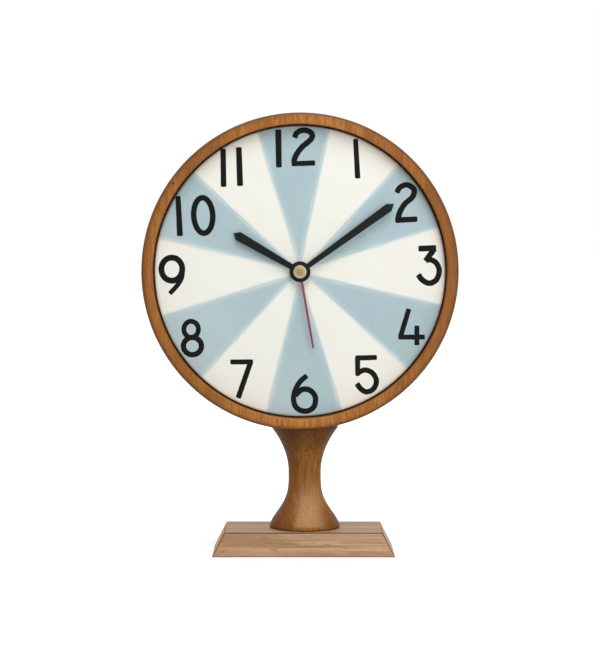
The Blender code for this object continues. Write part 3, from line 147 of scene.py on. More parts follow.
class Graph:
    """A node tree, with short calls for adding, feeding and joining its nodes."""

    def __init__(self, tree: bpy.types.NodeTree) -> None:
        """Work on a tree.

        Args:
            tree: The node tree that the calls add to.
        """
        self.tree = tree

    def add(
        self,
        kind: str,
        settings: dict[str, object] | None = None,
        feeds: dict[str | int, Feed] | None = None,
    ) -> bpy.types.Node:
        """Add a node.

        Args:
            kind: The node's type.
            settings: Its own options, by property name.
            feeds: A value or a socket for each of its inputs, by name or number.

        Returns:
            The node.
        """
        node = self.tree.nodes.new(kind)
        for name, value in (settings or {}).items():
            setattr(node, name, value)
        for name, value in (feeds or {}).items():
            self.feed(node.inputs[name], value)
        return node

    def feed(self, socket: Socket, value: Feed) -> None:
        """Give an input its value, or join another node's output to it.

        Args:
            socket: The input.
            value: A number, tone or vector, or the output to join.
        """
        if isinstance(value, Value):
            value = value.socket
        if isinstance(value, Socket):
            self.tree.links.new(value, socket)
        else:
            socket.default_value = value.linear() if isinstance(value, Tone) else value

    def sum_up(self, operation: str, *terms: Feed) -> Value:
        """Work out one number from one or two others.

        Args:
            operation: Name of the sum, such as MULTIPLY.
            terms: Its terms.

        Returns:
            The result.
        """
        feeds = dict(enumerate(terms))
        node = self.add("ShaderNodeMath", {"operation": operation}, feeds)
        return Value(self, node.outputs[0])

    def wave(self, value: Value, pitch: float, shape: str = "SINE") -> Value:
        """Return a number that swings between 0 and 1, once for every pitch of a value.

        Args:
            value: The value.
            pitch: What one swing takes.
            shape: SINE, or COSINE to start at the top.
        """
        return self.sum_up(shape, value * (math.tau / pitch)) * 0.5 + 0.5

    def dot(self, vector: Socket, direction: Triple) -> Value:
        """Return how far a vector goes in a direction.

        Args:
            vector: The vector.
            direction: A direction of length one.
        """
        settings = {"operation": "DOT_PRODUCT"}
        node = self.add("ShaderNodeVectorMath", settings, {0: vector, 1: direction})
        return Value(self, node.outputs["Value"])

    def parts(self, vector: Socket) -> list[Value]:
        """Return a vector's X, Y and Z.

        Args:
            vector: The vector.
        """
        node = self.add("ShaderNodeSeparateXYZ", None, {0: vector})
        return [Value(self, output) for output in node.outputs]

    def joined(self, x: Feed, y: Feed, z: Feed) -> Socket:
        """Return the vector of an X, a Y and a Z.

        Args:
            x: Its X.
            y: Its Y.
            z: Its Z.
        """
        return self.add("ShaderNodeCombineXYZ", None, {0: x, 1: y, 2: z}).outputs[0]

    def eased(self, value: Feed, low: float, high: float) -> Value:
        """Return a number that goes smoothly from 0 to 1 as a value passes a stretch.

        Args:
            value: The value.
            low: Where the stretch starts, for 0.
            high: Where it ends, for 1.
        """
        settings = {"interpolation_type": "SMOOTHSTEP"}
        feeds = {"Value": value, "From Min": low, "From Max": high}
        return Value(self, self.add("ShaderNodeMapRange", settings, feeds).outputs["Result"])


class Shader(Graph):
    """The node tree of one material, which reads a piece's own coordinates."""

    def __init__(self, name: str) -> None:
        """Start a material.

        Args:
            name: The material's name.
        """
        self.material = bpy.data.materials.new(name)
        self.material.use_nodes = True
        super().__init__(self.material.node_tree)
        self.surface = self.tree.nodes["Principled BSDF"]
        self.place = self.add("ShaderNodeTexCoord").outputs["Object"]

    def dress(self, **feeds: Feed) -> bpy.types.Material:
        """Feed the surface shader.

        Args:
            feeds: A value or socket for each input, its spaces written as underscores.

        Returns:
            The material.
        """
        for name, value in feeds.items():
            self.feed(self.surface.inputs[name.replace("_", " ")], value)
        return self.material

    def stretched(self, scale: Triple, shift: Triple = (0.0, 0.0, 0.0)) -> Socket:
        """Return the piece's coordinates, scaled and then moved.

        Args:
            scale: Number of pattern units to the metre, along each axis.
            shift: What is added after the scaling.
        """
        return self.add("ShaderNodeMapping", None, {0: self.place, 1: shift, 3: scale}).outputs[0]

    def from_dial(self, height: float) -> Socket:
        """Return the piece's coordinates, counted from the dial's middle.

        Args:
            height: Height of the dial's middle.
        """
        return self.stretched((1.0, 1.0, 1.0), (0.0, 0.0, -height))

    def from_axis(self, where: Socket) -> Value:
        """Return how far a place lies from the dial's axis.

        Args:
            where: The place, from the dial's middle.
        """
        x, _, z = self.parts(where)
        return self.sum_up("SQRT", x * x + z * z)

    def noise(
        self,
        where: Feed,
        scale: float = 1.0,
        detail: float = 3.0,
        grit: float = 0.5,
        swirl: float = 0.0,
    ) -> Value:
        """Return a cloudy number from 0 to 1.

        Args:
            where: Coordinates that it is read at.
            scale: Its fineness.
            detail: How many finer layers it has.
            grit: How strong they are.
            swirl: How far it is bent by itself.
        """
        feeds = {"Vector": where, "Scale": scale, "Detail": detail}
        feeds |= {"Roughness": grit, "Distortion": swirl}
        return Value(self, self.add("ShaderNodeTexNoise", None, feeds).outputs[0])

    def layered(self, ground: Feed, *coats: tuple[Feed, Feed]) -> Feed:
        """Return a colour with others laid over it in turn.

        Args:
            ground: The first colour.
            coats: The share of each further colour, and the colour.
        """
        for share, coat in coats:
            feeds = {0: share, 6: ground, 7: coat}
            ground = self.add("ShaderNodeMix", {"data_type": "RGBA"}, feeds).outputs[2]
        return ground

    def relief(self, height: Feed, depth: float) -> Socket:
        """Return a normal that is raised and sunk by a height from 0 to 1.

        Args:
            height: The height.
            depth: What 1 is, in metres.
        """
        feeds = {"Strength": 1.0, "Distance": depth, "Height": height}
        return self.add("ShaderNodeBump", None, feeds).outputs[0]

    def edge_tone(self) -> Value:
        """Return the tone that a piece's mesh carries: -1 darkens it for burnish and painted shade,
        1 pales it for wear and painted highlight and sheen.
        """
        node = self.add("ShaderNodeAttribute", {"attribute_name": "tone"})
        return Value(self, node.outputs["Fac"])


class Recipe(Graph):
    """A Geometry Nodes tree with named inputs, which ends in Realize Instances and Set Material."""

    def __init__(self, name: str) -> None:
        """Start a tree.

        Args:
            name: The tree's name.
        """
        super().__init__(bpy.data.node_groups.new(name, "GeometryNodeTree"))
        sockets = self.tree.interface
        sockets.new_socket("Geometry", in_out="INPUT", socket_type="NodeSocketGeometry")
        sockets.new_socket("Geometry", in_out="OUTPUT", socket_type="NodeSocketGeometry")
        self.entry = self.add("NodeGroupInput")
        self.carrier = self.entry.outputs["Geometry"]
        self.values: dict[str, object] = {}

    def named(self, **sizes: float | int) -> list[Value]:
        """Add named inputs for sizes and counts.

        Args:
            sizes: What the modifier gives each input, its name's spaces written as underscores.

        Returns:
            The inputs, for the other nodes.
        """
        values = []
        for word, size in sizes.items():
            name = word.replace("_", " ").capitalize()
            kind = "NodeSocketInt" if isinstance(size, int) else "NodeSocketFloat"
            socket = self.tree.interface.new_socket(name, in_out="INPUT", socket_type=kind)
            self.values[socket.identifier] = size
            values.append(Value(self, self.entry.outputs[name]))
        return values

    def read(self, name: str) -> Value:
        """Return a number that the geometry's points carry.

        Args:
            name: The number's name.
        """
        settings = {"data_type": "FLOAT"}
        node = self.add("GeometryNodeInputNamedAttribute", settings, {"Name": name})
        return Value(self, node.outputs["Attribute"])

    def stored(self, geometry: Feed, name: str, value: Feed) -> Socket:
        """Return a geometry whose points carry one more number.

        Args:
            geometry: The geometry.
            name: The number's name.
            value: The number.
        """
        settings = {"data_type": "FLOAT", "domain": "POINT"}
        feeds = {"Geometry": geometry, "Name": name, "Value": value}
        return self.add("GeometryNodeStoreNamedAttribute", settings, feeds).outputs[0]

    def position(self) -> list[Value]:
        """Return the X, Y and Z of each point."""
        return self.parts(self.add("GeometryNodeInputPosition").outputs[0])

    def moved(self, geometry: Feed, x: Feed, y: Feed, z: Feed) -> Socket:
        """Return a geometry with each of its points in a new place.

        Args:
            geometry: The geometry.
            x: The place's X.
            y: The place's Y.
            z: The place's Z.
        """
        feeds = {"Geometry": geometry, "Position": self.joined(x, y, z)}
        return self.add("GeometryNodeSetPosition", None, feeds).outputs[0]

    def drum(self, sides: Feed, radius: Feed, depth: Feed, rows: Feed = 1) -> Socket:
        """Return a closed drum round Z, with its middle at nought.

        Args:
            sides: Number of stretches round it.
            radius: Its radius.
            depth: Its length.
            rows: Number of stretches along it.
        """
        feeds = {"Vertices": sides, "Side Segments": rows, "Radius": radius, "Depth": depth}
        node = self.add("GeometryNodeMeshCylinder", {"fill_type": "NGON"}, feeds)
        return node.outputs["Mesh"]

    def welded(self, *meshes: Feed) -> Socket:
        """Return closed meshes as one, without the walls inside it.

        Args:
            meshes: The meshes.
        """
        settings = {"operation": "UNION", "solver": "EXACT"}
        node = self.add("GeometryNodeMeshBoolean", settings, {"Self Intersection": True})
        for mesh in meshes:
            self.feed(node.inputs["Mesh 2"], mesh)
        return node.outputs[0]

    def set_back(self, radius: Value, distance: Value) -> Value:
        """Return how far a rounded edge stands back from its full width.

        Args:
            radius: The edge's radius.
            distance: Distance from the end of the piece.
        """
        inset = (radius - distance).at_least(0.0)
        return radius - self.sum_up("SQRT", radius * radius - inset * inset)

    def cook(
        self, result: Feed, carrier: bpy.types.Mesh, material: bpy.types.Material
    ) -> bpy.types.Mesh:
        """Run the tree and return what it makes as a plain mesh.

        Args:
            result: The geometry that the tree has made.
            carrier: The mesh that it starts from.
            material: What the result is made of.

        Returns:
            The mesh.
        """
        real = self.add("GeometryNodeRealizeInstances", None, {0: result}).outputs[0]
        feeds = {"Geometry": real, "Material": material}
        made = self.add("GeometryNodeSetMaterial", None, feeds).outputs[0]
        self.add("NodeGroupOutput", None, {"Geometry": made})
        holder = linked("holder", carrier)
        modifier = holder.modifiers.new("recipe", "NODES")
        modifier.node_group = self.tree
        for identifier, value in self.values.items():
            modifier[identifier] = value
        mesh = baked(holder)
        holder.modifiers.remove(modifier)
        bpy.data.objects.remove(holder)
        return mesh


def linked(name: str, data: bpy.types.ID | None) -> bpy.types.Object:
    """Return a new object that is in the scene.

    Args:
        name: Its name.
        data: Its mesh, curve, lamp or lens.
    """
    thing = bpy.data.objects.new(name, data)
    bpy.context.scene.collection.objects.link(thing)
    return thing


def baked(thing: bpy.types.Object) -> bpy.types.Mesh:
    """Return an object's mesh with its modifiers worked in.

    Args:
        thing: The object.
    """
    graph = bpy.context.evaluated_depsgraph_get()
    return bpy.data.meshes.new_from_object(thing.evaluated_get(graph), depsgraph=graph)


def handed_over(bm: bmesh.types.BMesh, name: str) -> bpy.types.Mesh:
    """Return a mesh of what has been shaped, and free its maker.

    Args:
        bm: What has been shaped.
        name: The mesh's name.
    """
    mesh = bpy.data.meshes.new(name)
    bm.to_mesh(mesh)
    bm.free()
    return mesh


def smoothed(mesh: bpy.types.Mesh) -> bpy.types.Mesh:
    """Close a mesh's seams, point its faces outwards, and shade all but its sharp edges smooth.

    Args:
        mesh: The mesh, which is changed.

    Returns:
        The same mesh.
    """
    bm = bmesh.new()
    bm.from_mesh(mesh)
    bmesh.ops.remove_doubles(bm, verts=bm.verts, dist=TINY)
    bmesh.ops.recalc_face_normals(bm, faces=bm.faces)
    for face in bm.faces:
        face.smooth = True
    for edge in bm.edges:
        edge.smooth = not (edge.is_manifold and edge.calc_face_angle() > SHARP_ANGLE)
    bm.to_mesh(mesh)
    bm.free()
    return mesh


@dataclass(frozen=True)
class TurnPoint:
    """One point of a turned profile, with the tone of the wood or metal there."""

    radius: float
    along: float
    tone: float = 0.0


def on_circle(radius: float, angle: float) -> Point:
    """Return a point of a circle round nought.

    Args:
        radius: The circle's radius.
        angle: The point's angle, in radians.
    """
    return (radius * math.cos(angle), radius * math.sin(angle))


def rounded(
    centre: Point,
    radius: float,
    start: float,
    end: float,
    tones: Point = (0.0, 0.0),
    steps: int = 6,
) -> list[TurnPoint]:
    """Return the points of a rounded edge.

    Args:
        centre: Middle of the arc: its distance from the axis, and along it.
        radius: The arc's radius.
        start: Angle of its first point, in degrees.
        end: Angle of its last point, in degrees.
        tones: Tone at its first and its last point.
        steps: Number of stretches in it.

    Returns:
        The points, in order.
    """
    points = []
    for step in range(steps + 1):
        share = step / steps
        out, up = on_circle(radius, math.radians(start + (end - start) * share))
        tone = tones[0] + (tones[1] - tones[0]) * share
        points.append(TurnPoint(centre[0] + out, centre[1] + up, tone))
    return points


def turned(profile: Sequence[TurnPoint], sides: int, place: Matrix, closed: bool) -> bpy.types.Mesh:
    """Return a profile turned round the local Z axis.

    Args:
        profile: The points of the profile.
        sides: Number of stretches round the axis.
        place: Where the local axes stand on the clock.
        closed: Whether the last point joins the first, or both lie on the axis.

    Returns:
        The mesh.
    """
    bm = bmesh.new()
    tone = bm.verts.layers.float.new("tone")
    loops = []
    for point in profile:
        count = 1 if point.radius < TINY else sides
        loop = []
        for i in range(count):
            x, y = on_circle(point.radius, math.tau * i / count)
            vertex = bm.verts.new(place @ Vector((x, y, point.along)))
            vertex[tone] = point.tone
            loop.append(vertex)
        loops.append(loop)
    following = loops[1:] + loops[:1] if closed else loops[1:]
    for first, second in zip(loops, following):
        for i in range(sides):
            after = i + 1
            corners = [first[i % len(first)], first[after % len(first)]]
            corners += [second[after % len(second)], second[i % len(second)]]
            bm.faces.new(dict.fromkeys(corners))
    return handed_over(bm, "turned")


def flat_part(
    outlines: Sequence[Sequence[Point]],
    thickness: float,
    easing: float,
    place: Matrix,
    steps: int = 2,
) -> bpy.types.Mesh:
    """Return a sheet part with eased edges, standing on its local plane.

    Args:
        outlines: Its outline, and then that of each hole.
        thickness: Its thickness.
        easing: Radius of its eased edges.
        place: Where the local axes stand on the clock.
        steps: Fineness of its eased edges.

    Returns:
        The mesh.
    """
    curve = bpy.data.curves.new("sheet", "CURVE")
    curve.dimensions = "2D"
    curve.fill_mode = "BOTH"
    curve.extrude = thickness / 2 - easing
    curve.bevel_depth = easing
    curve.bevel_resolution = steps
    curve.offset = -easing
    for outline in outlines:
        spline = curve.splines.new("POLY")
        spline.points.add(len(outline) - 1)
        spline.use_cyclic_u = True
        for spot, (x, y) in zip(spline.points, outline):
            spot.co = (x, y, 0.0, 1.0)
    holder = linked("sheet", curve)
    mesh = baked(holder)
    bpy.data.objects.remove(holder)
    mesh.transform(place @ Matrix.Translation((0.0, 0.0, thickness / 2)))
    return mesh


def carved(mesh: bpy.types.Mesh, tool: bpy.types.Mesh) -> bpy.types.Mesh:
    """Return a mesh with the shape of another cut out of it.

    Args:
        mesh: What is cut.
        tool: What cuts it.

    Returns:
        The mesh that is left.
    """
    holder, cutter = linked("holder", mesh), linked("cutter", tool)
    cut = holder.modifiers.new("cut", "BOOLEAN")
    cut.object = cutter
    cut.solver = "EXACT"
    left = baked(holder)
    for thing in (holder, cutter):
        bpy.data.objects.remove(thing)
    return left


@dataclass(frozen=True)
class WoodFinish:
    """Oiled wood with a broad figure, fine fibres and short dark pores along its grain.

    A stretch says between which two values of a pattern a colour comes in. The marks are small
    dents on the front, each given by its X, its Z and its half width.
    """

    name: str
    pale: Tone
    middle: Tone
    dark: Tone
    # Darkest colour: burnish, pores and dents, and painted shade where the mesh's tone calls for
    # it.
    burnished_and_shade: Tone
    # Pale colour: worn places, and painted highlight and sheen where the mesh's tone calls for it.
    pale_and_highlight: Tone
    grain: Grain
    figure_across: float = 70.0
    figure_along: float = 9.0
    figure_shift: Triple = (0.0, 0.0, 0.0)
    figure_swirl: float = 0.6
    figure_share: float = 1.0
    dark_stretch: Point = (0.52, 0.32)
    pale_stretch: Point = (0.50, 0.72)
    fibre_across: float = 850.0
    fibre_along: float = 45.0
    fibre_detail: float = 4.0
    fibre_grit: float = 0.65
    fibre_share: float = 0.55
    fibre_stretch: Point = (0.40, 0.60)
    pore_across: float = 1500.0
    pore_along: float = 150.0
    pore_detail: float = 2.0
    pore_share: float = 0.45
    pore_stretch: Point = (0.60, 0.72)
    pore_depth: float = 0.00006
    band_pitch: float = 0.14
    band_place: float = 0.0
    band_wobble: float = 0.01
    band_share: float = 0.0
    pale_and_highlight_stretch: Point = (0.35, 1.0)
    roughness: float = 0.5
    fibre_roughness: float = 0.12
    varnish: float = 0.12
    varnish_roughness: float = 0.35
    shine: float = 0.15
    marks: tuple[Triple, ...] = ()
    mark_stretch: Point = (1.5, 0.5)
    mark_share: float = 0.75
    mark_fade: float = 0.0012
    marked_front: float = -0.0205

    def pattern(
        self, shader: Shader, across: float, along: float, shift: Triple = (0.0, 0.0, 0.0)
    ) -> Socket:
        """Return coordinates for a pattern that is long along the grain.

        Args:
            shader: The material's tree.
            across: Its fineness across the grain, to the metre.
            along: Its fineness along the grain, to the metre.
            shift: How far it is moved.
        """
        upright = self.grain is Grain.UPRIGHT
        return shader.stretched(
            (across, across, along) if upright else (along, across, across), shift
        )

    def mark(self, shader: Shader, spot: Triple) -> Value:
        """Return how strongly one of the marks shows at a place.

        Args:
            shader: The material's tree.
            spot: The mark's X, Z and half width.
        """
        x, y, z = shader.parts(shader.place)
        left, height, half = spot
        outer, inner = self.mark_stretch
        ink = shader.eased(abs(x - left) + abs(z - height), outer * half, inner * half)
        in_front = shader.eased(y, self.marked_front, self.marked_front - self.mark_fade)
        return ink * (in_front * self.mark_share)

    def material(self) -> bpy.types.Material:
        """Return the wood as a material."""
        shader = Shader(self.name)
        where = self.pattern(shader, self.figure_across, self.figure_along, self.figure_shift)
        figure = shader.noise(where, swirl=self.figure_swirl)
        where = self.pattern(shader, self.fibre_across, self.fibre_along)
        fibre = shader.noise(where, detail=self.fibre_detail, grit=self.fibre_grit)
        where = self.pattern(shader, self.pore_across, self.pore_along)
        pore = shader.noise(where, detail=self.pore_detail)
        pore = shader.eased(pore, *self.pore_stretch)
        x, _, _ = shader.parts(shader.place)
        # Broad bands across X, darker away from each crest. On the stem they paint a highlight down
        # its middle and shade on its sides. On the ring they paint its lighter top and bottom. On
        # the plinth they are paler and darker stretches of the board, which partly stand in for
        # light from the right.
        aside = (figure - 0.5) * self.band_wobble + x - self.band_place
        crest = shader.wave(aside, self.band_pitch, "COSINE")
        # The mesh's tone darkens the wood for burnish and painted shade, and pales it for wear and
        # painted highlight and sheen; the pale part shows only near the crests of the bands.
        tone = shader.edge_tone()
        rub = shader.eased(tone, 0.0, 1.0) * shader.eased(crest, *self.pale_and_highlight_stretch)
        wood = shader.layered(
            self.middle,
            (shader.eased(figure, *self.dark_stretch) * self.figure_share, self.dark),
            (shader.eased(figure, *self.pale_stretch) * self.figure_share, self.pale),
            (crest * -self.band_share + self.band_share, self.dark),
            (shader.eased(fibre, *self.fibre_stretch) * self.fibre_share, self.dark),
            (pore * self.pore_share, self.burnished_and_shade),
            (shader.eased(tone * -1.0, 0.0, 1.0), self.burnished_and_shade),
            (rub, self.pale_and_highlight),
            *((self.mark(shader, spot), self.burnished_and_shade) for spot in self.marks),
        )
        rough = fibre * self.fibre_roughness + (self.roughness - self.fibre_roughness / 2)
        shader.dress(Base_Color=wood, Roughness=rough, Specular_IOR_Level=self.shine)
        shader.dress(Coat_Weight=self.varnish, Coat_Roughness=self.varnish_roughness)
        return shader.dress(Normal=shader.relief(fibre - pore, self.pore_depth))


@dataclass(frozen=True)
class PaintedGlaze:
    """Glaze of the dial: blue wedges brushed on white, and bare fired clay behind.

    The wedges are given by the bearings of their two edges, in degrees clockwise from the top.
    """

    height: float
    face: float
    rim: float
    name: str = "glazed_dial"
    white: Tone = Tone(244, 244, 234)
    warm_white: Tone = Tone(243, 241, 229)
    blue: Tone = Tone(174, 196, 203)
    deep_blue: Tone = Tone(169, 191, 201)
    green_blue: Tone = Tone(177, 200, 202)
    thin_blue: Tone = Tone(198, 214, 215)
    halo: Tone = Tone(248, 247, 240)
    rim_painted_shade: Tone = Tone(150, 160, 160)
    clay: Tone = Tone(206, 190, 170)
    wedges: tuple[Point, ...] = (
        (-17.4, 12.0),
        (42.4, 72.5),
        (103.0, 132.4),
        (163.0, 193.8),
        (222.6, 252.6),
        (282.9, 313.4),
    )
    cloud_scale: float = 55.0
    fine_scale: float = 320.0
    fine_grit: float = 0.6
    warm_stretch: Point = (0.45, 0.80)
    green_stretch: Point = (0.35, 0.70)
    deep_stretch: Point = (0.42, 0.75)
    deep_share: float = 0.5
    edge_blur: float = 0.0011
    brush_wobble: float = 0.0012
    stroke_across: float = 900.0
    stroke_along: float = 24.0
    stroke_lean: float = 20.0
    stroke_detail: float = 2.0
    stroke_stretch: Point = (0.25, 0.60)
    thin_width: float = 0.0050
    thin_share: float = 0.7
    pale_side: Triple = (-0.84, 0.0, -0.54)
    pale_stretch: Point = (0.030, 0.065)
    pale_share: float = 0.36
    seam_inset: float = 0.0017
    seam_width: float = 0.0009
    seam_stretch: Point = (0.35, 0.65)
    seam_share: float = 0.3
    ridge_width: float = 0.0016
    ridge_height: float = 0.00008
    ridge_share: float = 0.35
    ripple_share: float = 0.12
    rim_width: float = 0.0026
    rim_share: float = 0.35
    clay_depths: Point = (0.0030, 0.0036)
    roughness: float = 0.38
    clay_roughness: float = 0.83
    shine: float = 0.2

    def inside(self, shader: Shader, where: Socket) -> Value:
        """Return how far inside the nearest wedge a place lies, less than 0 outside them.

        Args:
            shader: The material's tree.
            where: The place, from the dial's middle.
        """
        nearest = None
        for start, end in self.wedges:
            first, last = math.radians(start), math.radians(end)
            past = shader.dot(where, (math.cos(first), 0.0, -math.sin(first)))
            before = shader.dot(where, (-math.cos(last), 0.0, math.sin(last)))
            wedge = past.at_most(before)
            nearest = nearest.at_least(wedge) if nearest else wedge
        return nearest

    def material(self) -> bpy.types.Material:
        """Return the glaze as a material."""
        shader = Shader(self.name)
        where = shader.from_dial(self.height)
        x, y, _ = shader.parts(where)
        radius = shader.from_axis(where)
        cloud = shader.noise(shader.place, self.cloud_scale)
        fine_cloud = shader.noise(shader.place, self.fine_scale, grit=self.fine_grit)
        inside = self.inside(shader, where) + (cloud - 0.5) * self.brush_wobble

        strokes = (inside * self.stroke_across, x * self.stroke_lean, radius * self.stroke_along)
        uneven = shader.noise(shader.joined(*strokes), detail=self.stroke_detail)
        uneven = shader.eased(uneven, *self.stroke_stretch)
        thin = shader.eased(inside, self.thin_width, 0.0) * uneven
        pale = shader.eased(shader.dot(where, self.pale_side), *self.pale_stretch)
        seam = shader.eased(abs(inside - self.seam_inset), self.seam_width, 0.0)
        seam = seam * shader.eased(cloud, *self.seam_stretch)
        blue = shader.layered(
            self.blue,
            (shader.eased(cloud, *self.green_stretch), self.green_blue),
            (shader.eased(fine_cloud, *self.deep_stretch) * self.deep_share, self.deep_blue),
            (thin * self.thin_share, self.thin_blue),
            (pale * self.pale_share, self.thin_blue),
            (seam * self.seam_share, self.halo),
        )
        # A raised ridge along each wedge edge: its bump is relief, and its pale line is partly the
        # glaze's own halo and partly a painted highlight.
        ridge = 1.0 - shader.eased(abs(inside), 0.0, self.ridge_width)
        # Painted shade on the dial next to its rim, under the ring's lip.
        at_rim = shader.eased(radius, self.rim - self.rim_width, self.rim)
        start, end = self.clay_depths
        behind = shader.eased(y, self.face + start, self.face + end)
        paint = shader.layered(
            self.white,
            (shader.eased(cloud, *self.warm_stretch), self.warm_white),
            (shader.eased(inside, -self.edge_blur, self.edge_blur), blue),
            (ridge * self.ridge_share, self.halo),
            (at_rim * self.rim_share, self.rim_painted_shade),
            (behind, self.clay),
        )
        ripple = fine_cloud * self.ripple_share + ridge * (1.0 - behind)
        rough = behind * (self.clay_roughness - self.roughness) + self.roughness
        shader.dress(Base_Color=paint, Roughness=rough, Specular_IOR_Level=self.shine)
        return shader.dress(Normal=shader.relief(ripple, self.ridge_height))


@dataclass(frozen=True)
class BlackEnamel:
    """Black enamel with a slightly uneven skin: sprayed on the hands, brushed on the dial."""

    face: float
    name: str = "black_enamel"
    sprayed: Tone = Tone(23, 30, 29)
    brushed: Tone = Tone(10, 11, 9)
    thin: Tone = Tone(30, 32, 30)
    thin_stretch: Point = (0.35, 0.75)
    thin_share: float = 0.5
    brush_reach: float = 0.0005
    roughness: float = 0.45
    skin_roughness: float = 0.16
    shine: float = 0.08
    skin_scale: float = 900.0
    skin_grit: float = 0.6
    skin_depth: float = 0.00002

    def material(self) -> bpy.types.Material:
        """Return the enamel as a material."""
        shader = Shader(self.name)
        skin = shader.noise(shader.place, self.skin_scale, grit=self.skin_grit)
        _, y, _ = shader.parts(shader.place)
        on_dial = shader.eased(y, self.face - 2 * self.brush_reach, self.face - self.brush_reach)
        uneven = shader.eased(skin, *self.thin_stretch) * self.thin_share
        paint = shader.layered(self.sprayed, (on_dial, self.brushed), (uneven, self.thin))
        rough = skin * self.skin_roughness + (self.roughness - self.skin_roughness / 2)
        shader.dress(Base_Color=paint, Roughness=rough, Specular_IOR_Level=self.shine)
        return shader.dress(Normal=shader.relief(skin, self.skin_depth))


@dataclass(frozen=True)
class NeedleEnamel:
    """Enamel of the second hand: red, and black on its root in front of the bosses."""

    height: float
    name: str = "red_enamel"
    red: Tone = Tone(156, 67, 76)
    thin_red: Tone = Tone(130, 50, 54)
    thin_stretch: Point = (0.35, 0.75)
    root: Tone = Tone(20, 21, 20)
    root_radius: float = 0.0066
    root_fade: float = 0.0003
    skin_scale: float = 900.0
    skin_grit: float = 0.6
    skin_depth: float = 0.00002
    roughness: float = 0.4
    shine: float = 0.15

    def material(self) -> bpy.types.Material:
        """Return the enamel as a material."""
        shader = Shader(self.name)
        radius = shader.from_axis(shader.from_dial(self.height))
        skin = shader.noise(shader.place, self.skin_scale, grit=self.skin_grit)
        red = shader.layered(self.red, (shader.eased(skin, *self.thin_stretch), self.thin_red))
        past_root = shader.eased(radius, self.root_radius, self.root_radius + self.root_fade)
        paint = shader.layered(self.root, (past_root, red))
        shader.dress(Base_Color=paint, Roughness=self.roughness, Specular_IOR_Level=self.shine)
        return shader.dress(Normal=shader.relief(skin, self.skin_depth))


@dataclass(frozen=True)
class TurnedBrass:
    """Brass faced off on a lathe, with fine rings round the dial's axis and a painted highlight
    brightening it towards its rim.
    """

    height: float
    name: str = "turned_brass"
    radius: float = 0.0046
    highlight_start_share: float = 0.3
    middle: Tone = Tone(141, 119, 80)
    bright: Tone = Tone(172, 158, 134)
    dull: Tone = Tone(112, 94, 64)
    ring_pitch: float = 0.00016
    ring_share: float = 0.2
    ring_depth: float = 0.000012
    stain_scale: float = 700.0
    stain_roughness: float = 0.14
    roughness: float = 0.29

    def material(self) -> bpy.types.Material:
        """Return the brass as a material."""
        shader = Shader(self.name)
        radius = shader.from_axis(shader.from_dial(self.height))
        rings = shader.wave(radius, self.ring_pitch)
        stain = shader.noise(shader.place, self.stain_scale)
        # Painted highlight: the brass brightens from part way out to its rim.
        outwards = shader.eased(radius, self.highlight_start_share * self.radius, self.radius)
        metal = shader.layered(
            self.middle, (outwards, self.bright), (rings * self.ring_share, self.dull)
        )
        rough = stain * self.stain_roughness + self.roughness
        shader.dress(Base_Color=metal, Roughness=rough, Metallic=1.0)
        return shader.dress(Normal=shader.relief(rings, self.ring_depth))


@dataclass(frozen=True)
class MetalFinish:
    """Plain metal with brush marks along one axis."""

    name: str
    bright: Tone
    dull: Tone
    roughness: float = 0.34
    brush: Triple = (300.0, 5200.0, 5200.0)
    brush_roughness: float = 0.22
    brush_depth: float = 0.000008
    stain_scale: float = 260.0
    stain_stretch: Point = (0.40, 0.78)

    def material(self) -> bpy.types.Material:
        """Return the metal as a material."""
        shader = Shader(self.name)
        marks = shader.noise(shader.stretched(self.brush))
        stain = shader.eased(shader.noise(shader.place, self.stain_scale), *self.stain_stretch)
        metal = shader.layered(self.bright, (stain, self.dull))
        rough = marks * self.brush_roughness + (self.roughness - self.brush_roughness / 2)
        shader.dress(Base_Color=metal, Roughness=rough, Metallic=1.0)
        return shader.dress(Normal=shader.relief(marks, self.brush_depth))


@dataclass(frozen=True)
class MouldedFinish:
    """Moulded plastic or rubber with a fine spark-finished skin."""

    name: str
    tone: Tone
    worn: Tone
    roughness: float = 0.5
    cloud_scale: float = 130.0
    cloud_stretch: Point = (0.40, 0.80)
    cloud_roughness: float = 0.16
    pebble_scale: float = 4200.0
    pebble_detail: float = 2.0
    pebble_depth: float = 0.00003

    def material(self) -> bpy.types.Material:
        """Return the plastic as a material."""
        shader = Shader(self.name)
        pebbles = shader.noise(shader.place, self.pebble_scale, self.pebble_detail)
        cloud = shader.noise(shader.place, self.cloud_scale)
        plastic = shader.layered(self.tone, (shader.eased(cloud, *self.cloud_stretch), self.worn))
        rough = cloud * self.cloud_roughness + (self.roughness - self.cloud_roughness / 2)
        shader.dress(Base_Color=plastic, Roughness=rough)
        return shader.dress(Normal=shader.relief(pebbles, self.pebble_depth))


@dataclass(frozen=True)
class WindingFinish:
    """Lacquered copper wire, wound close along the coil's length, with painted shade in the grooves
    between its turns.
    """

    name: str = "copper"
    wire: Tone = Tone(196, 108, 62)
    groove: Tone = Tone(112, 50, 26)
    wire_pitch: float = 0.00018
    wire_depth: float = 0.00006
    lacquer: float = 0.85
    roughness: float = 0.32

    def material(self) -> bpy.types.Material:
        """Return the winding as a material."""
        shader = Shader(self.name)
        x, _, _ = shader.parts(shader.place)
        round_wire = shader.wave(x, self.wire_pitch)
        # The groove colour is painted shade between the turns.
        metal = shader.layered(self.groove, (round_wire, self.wire))
        shader.dress(Base_Color=metal, Metallic=self.lacquer, Roughness=self.roughness)
        return shader.dress(Normal=shader.relief(round_wire, self.wire_depth))


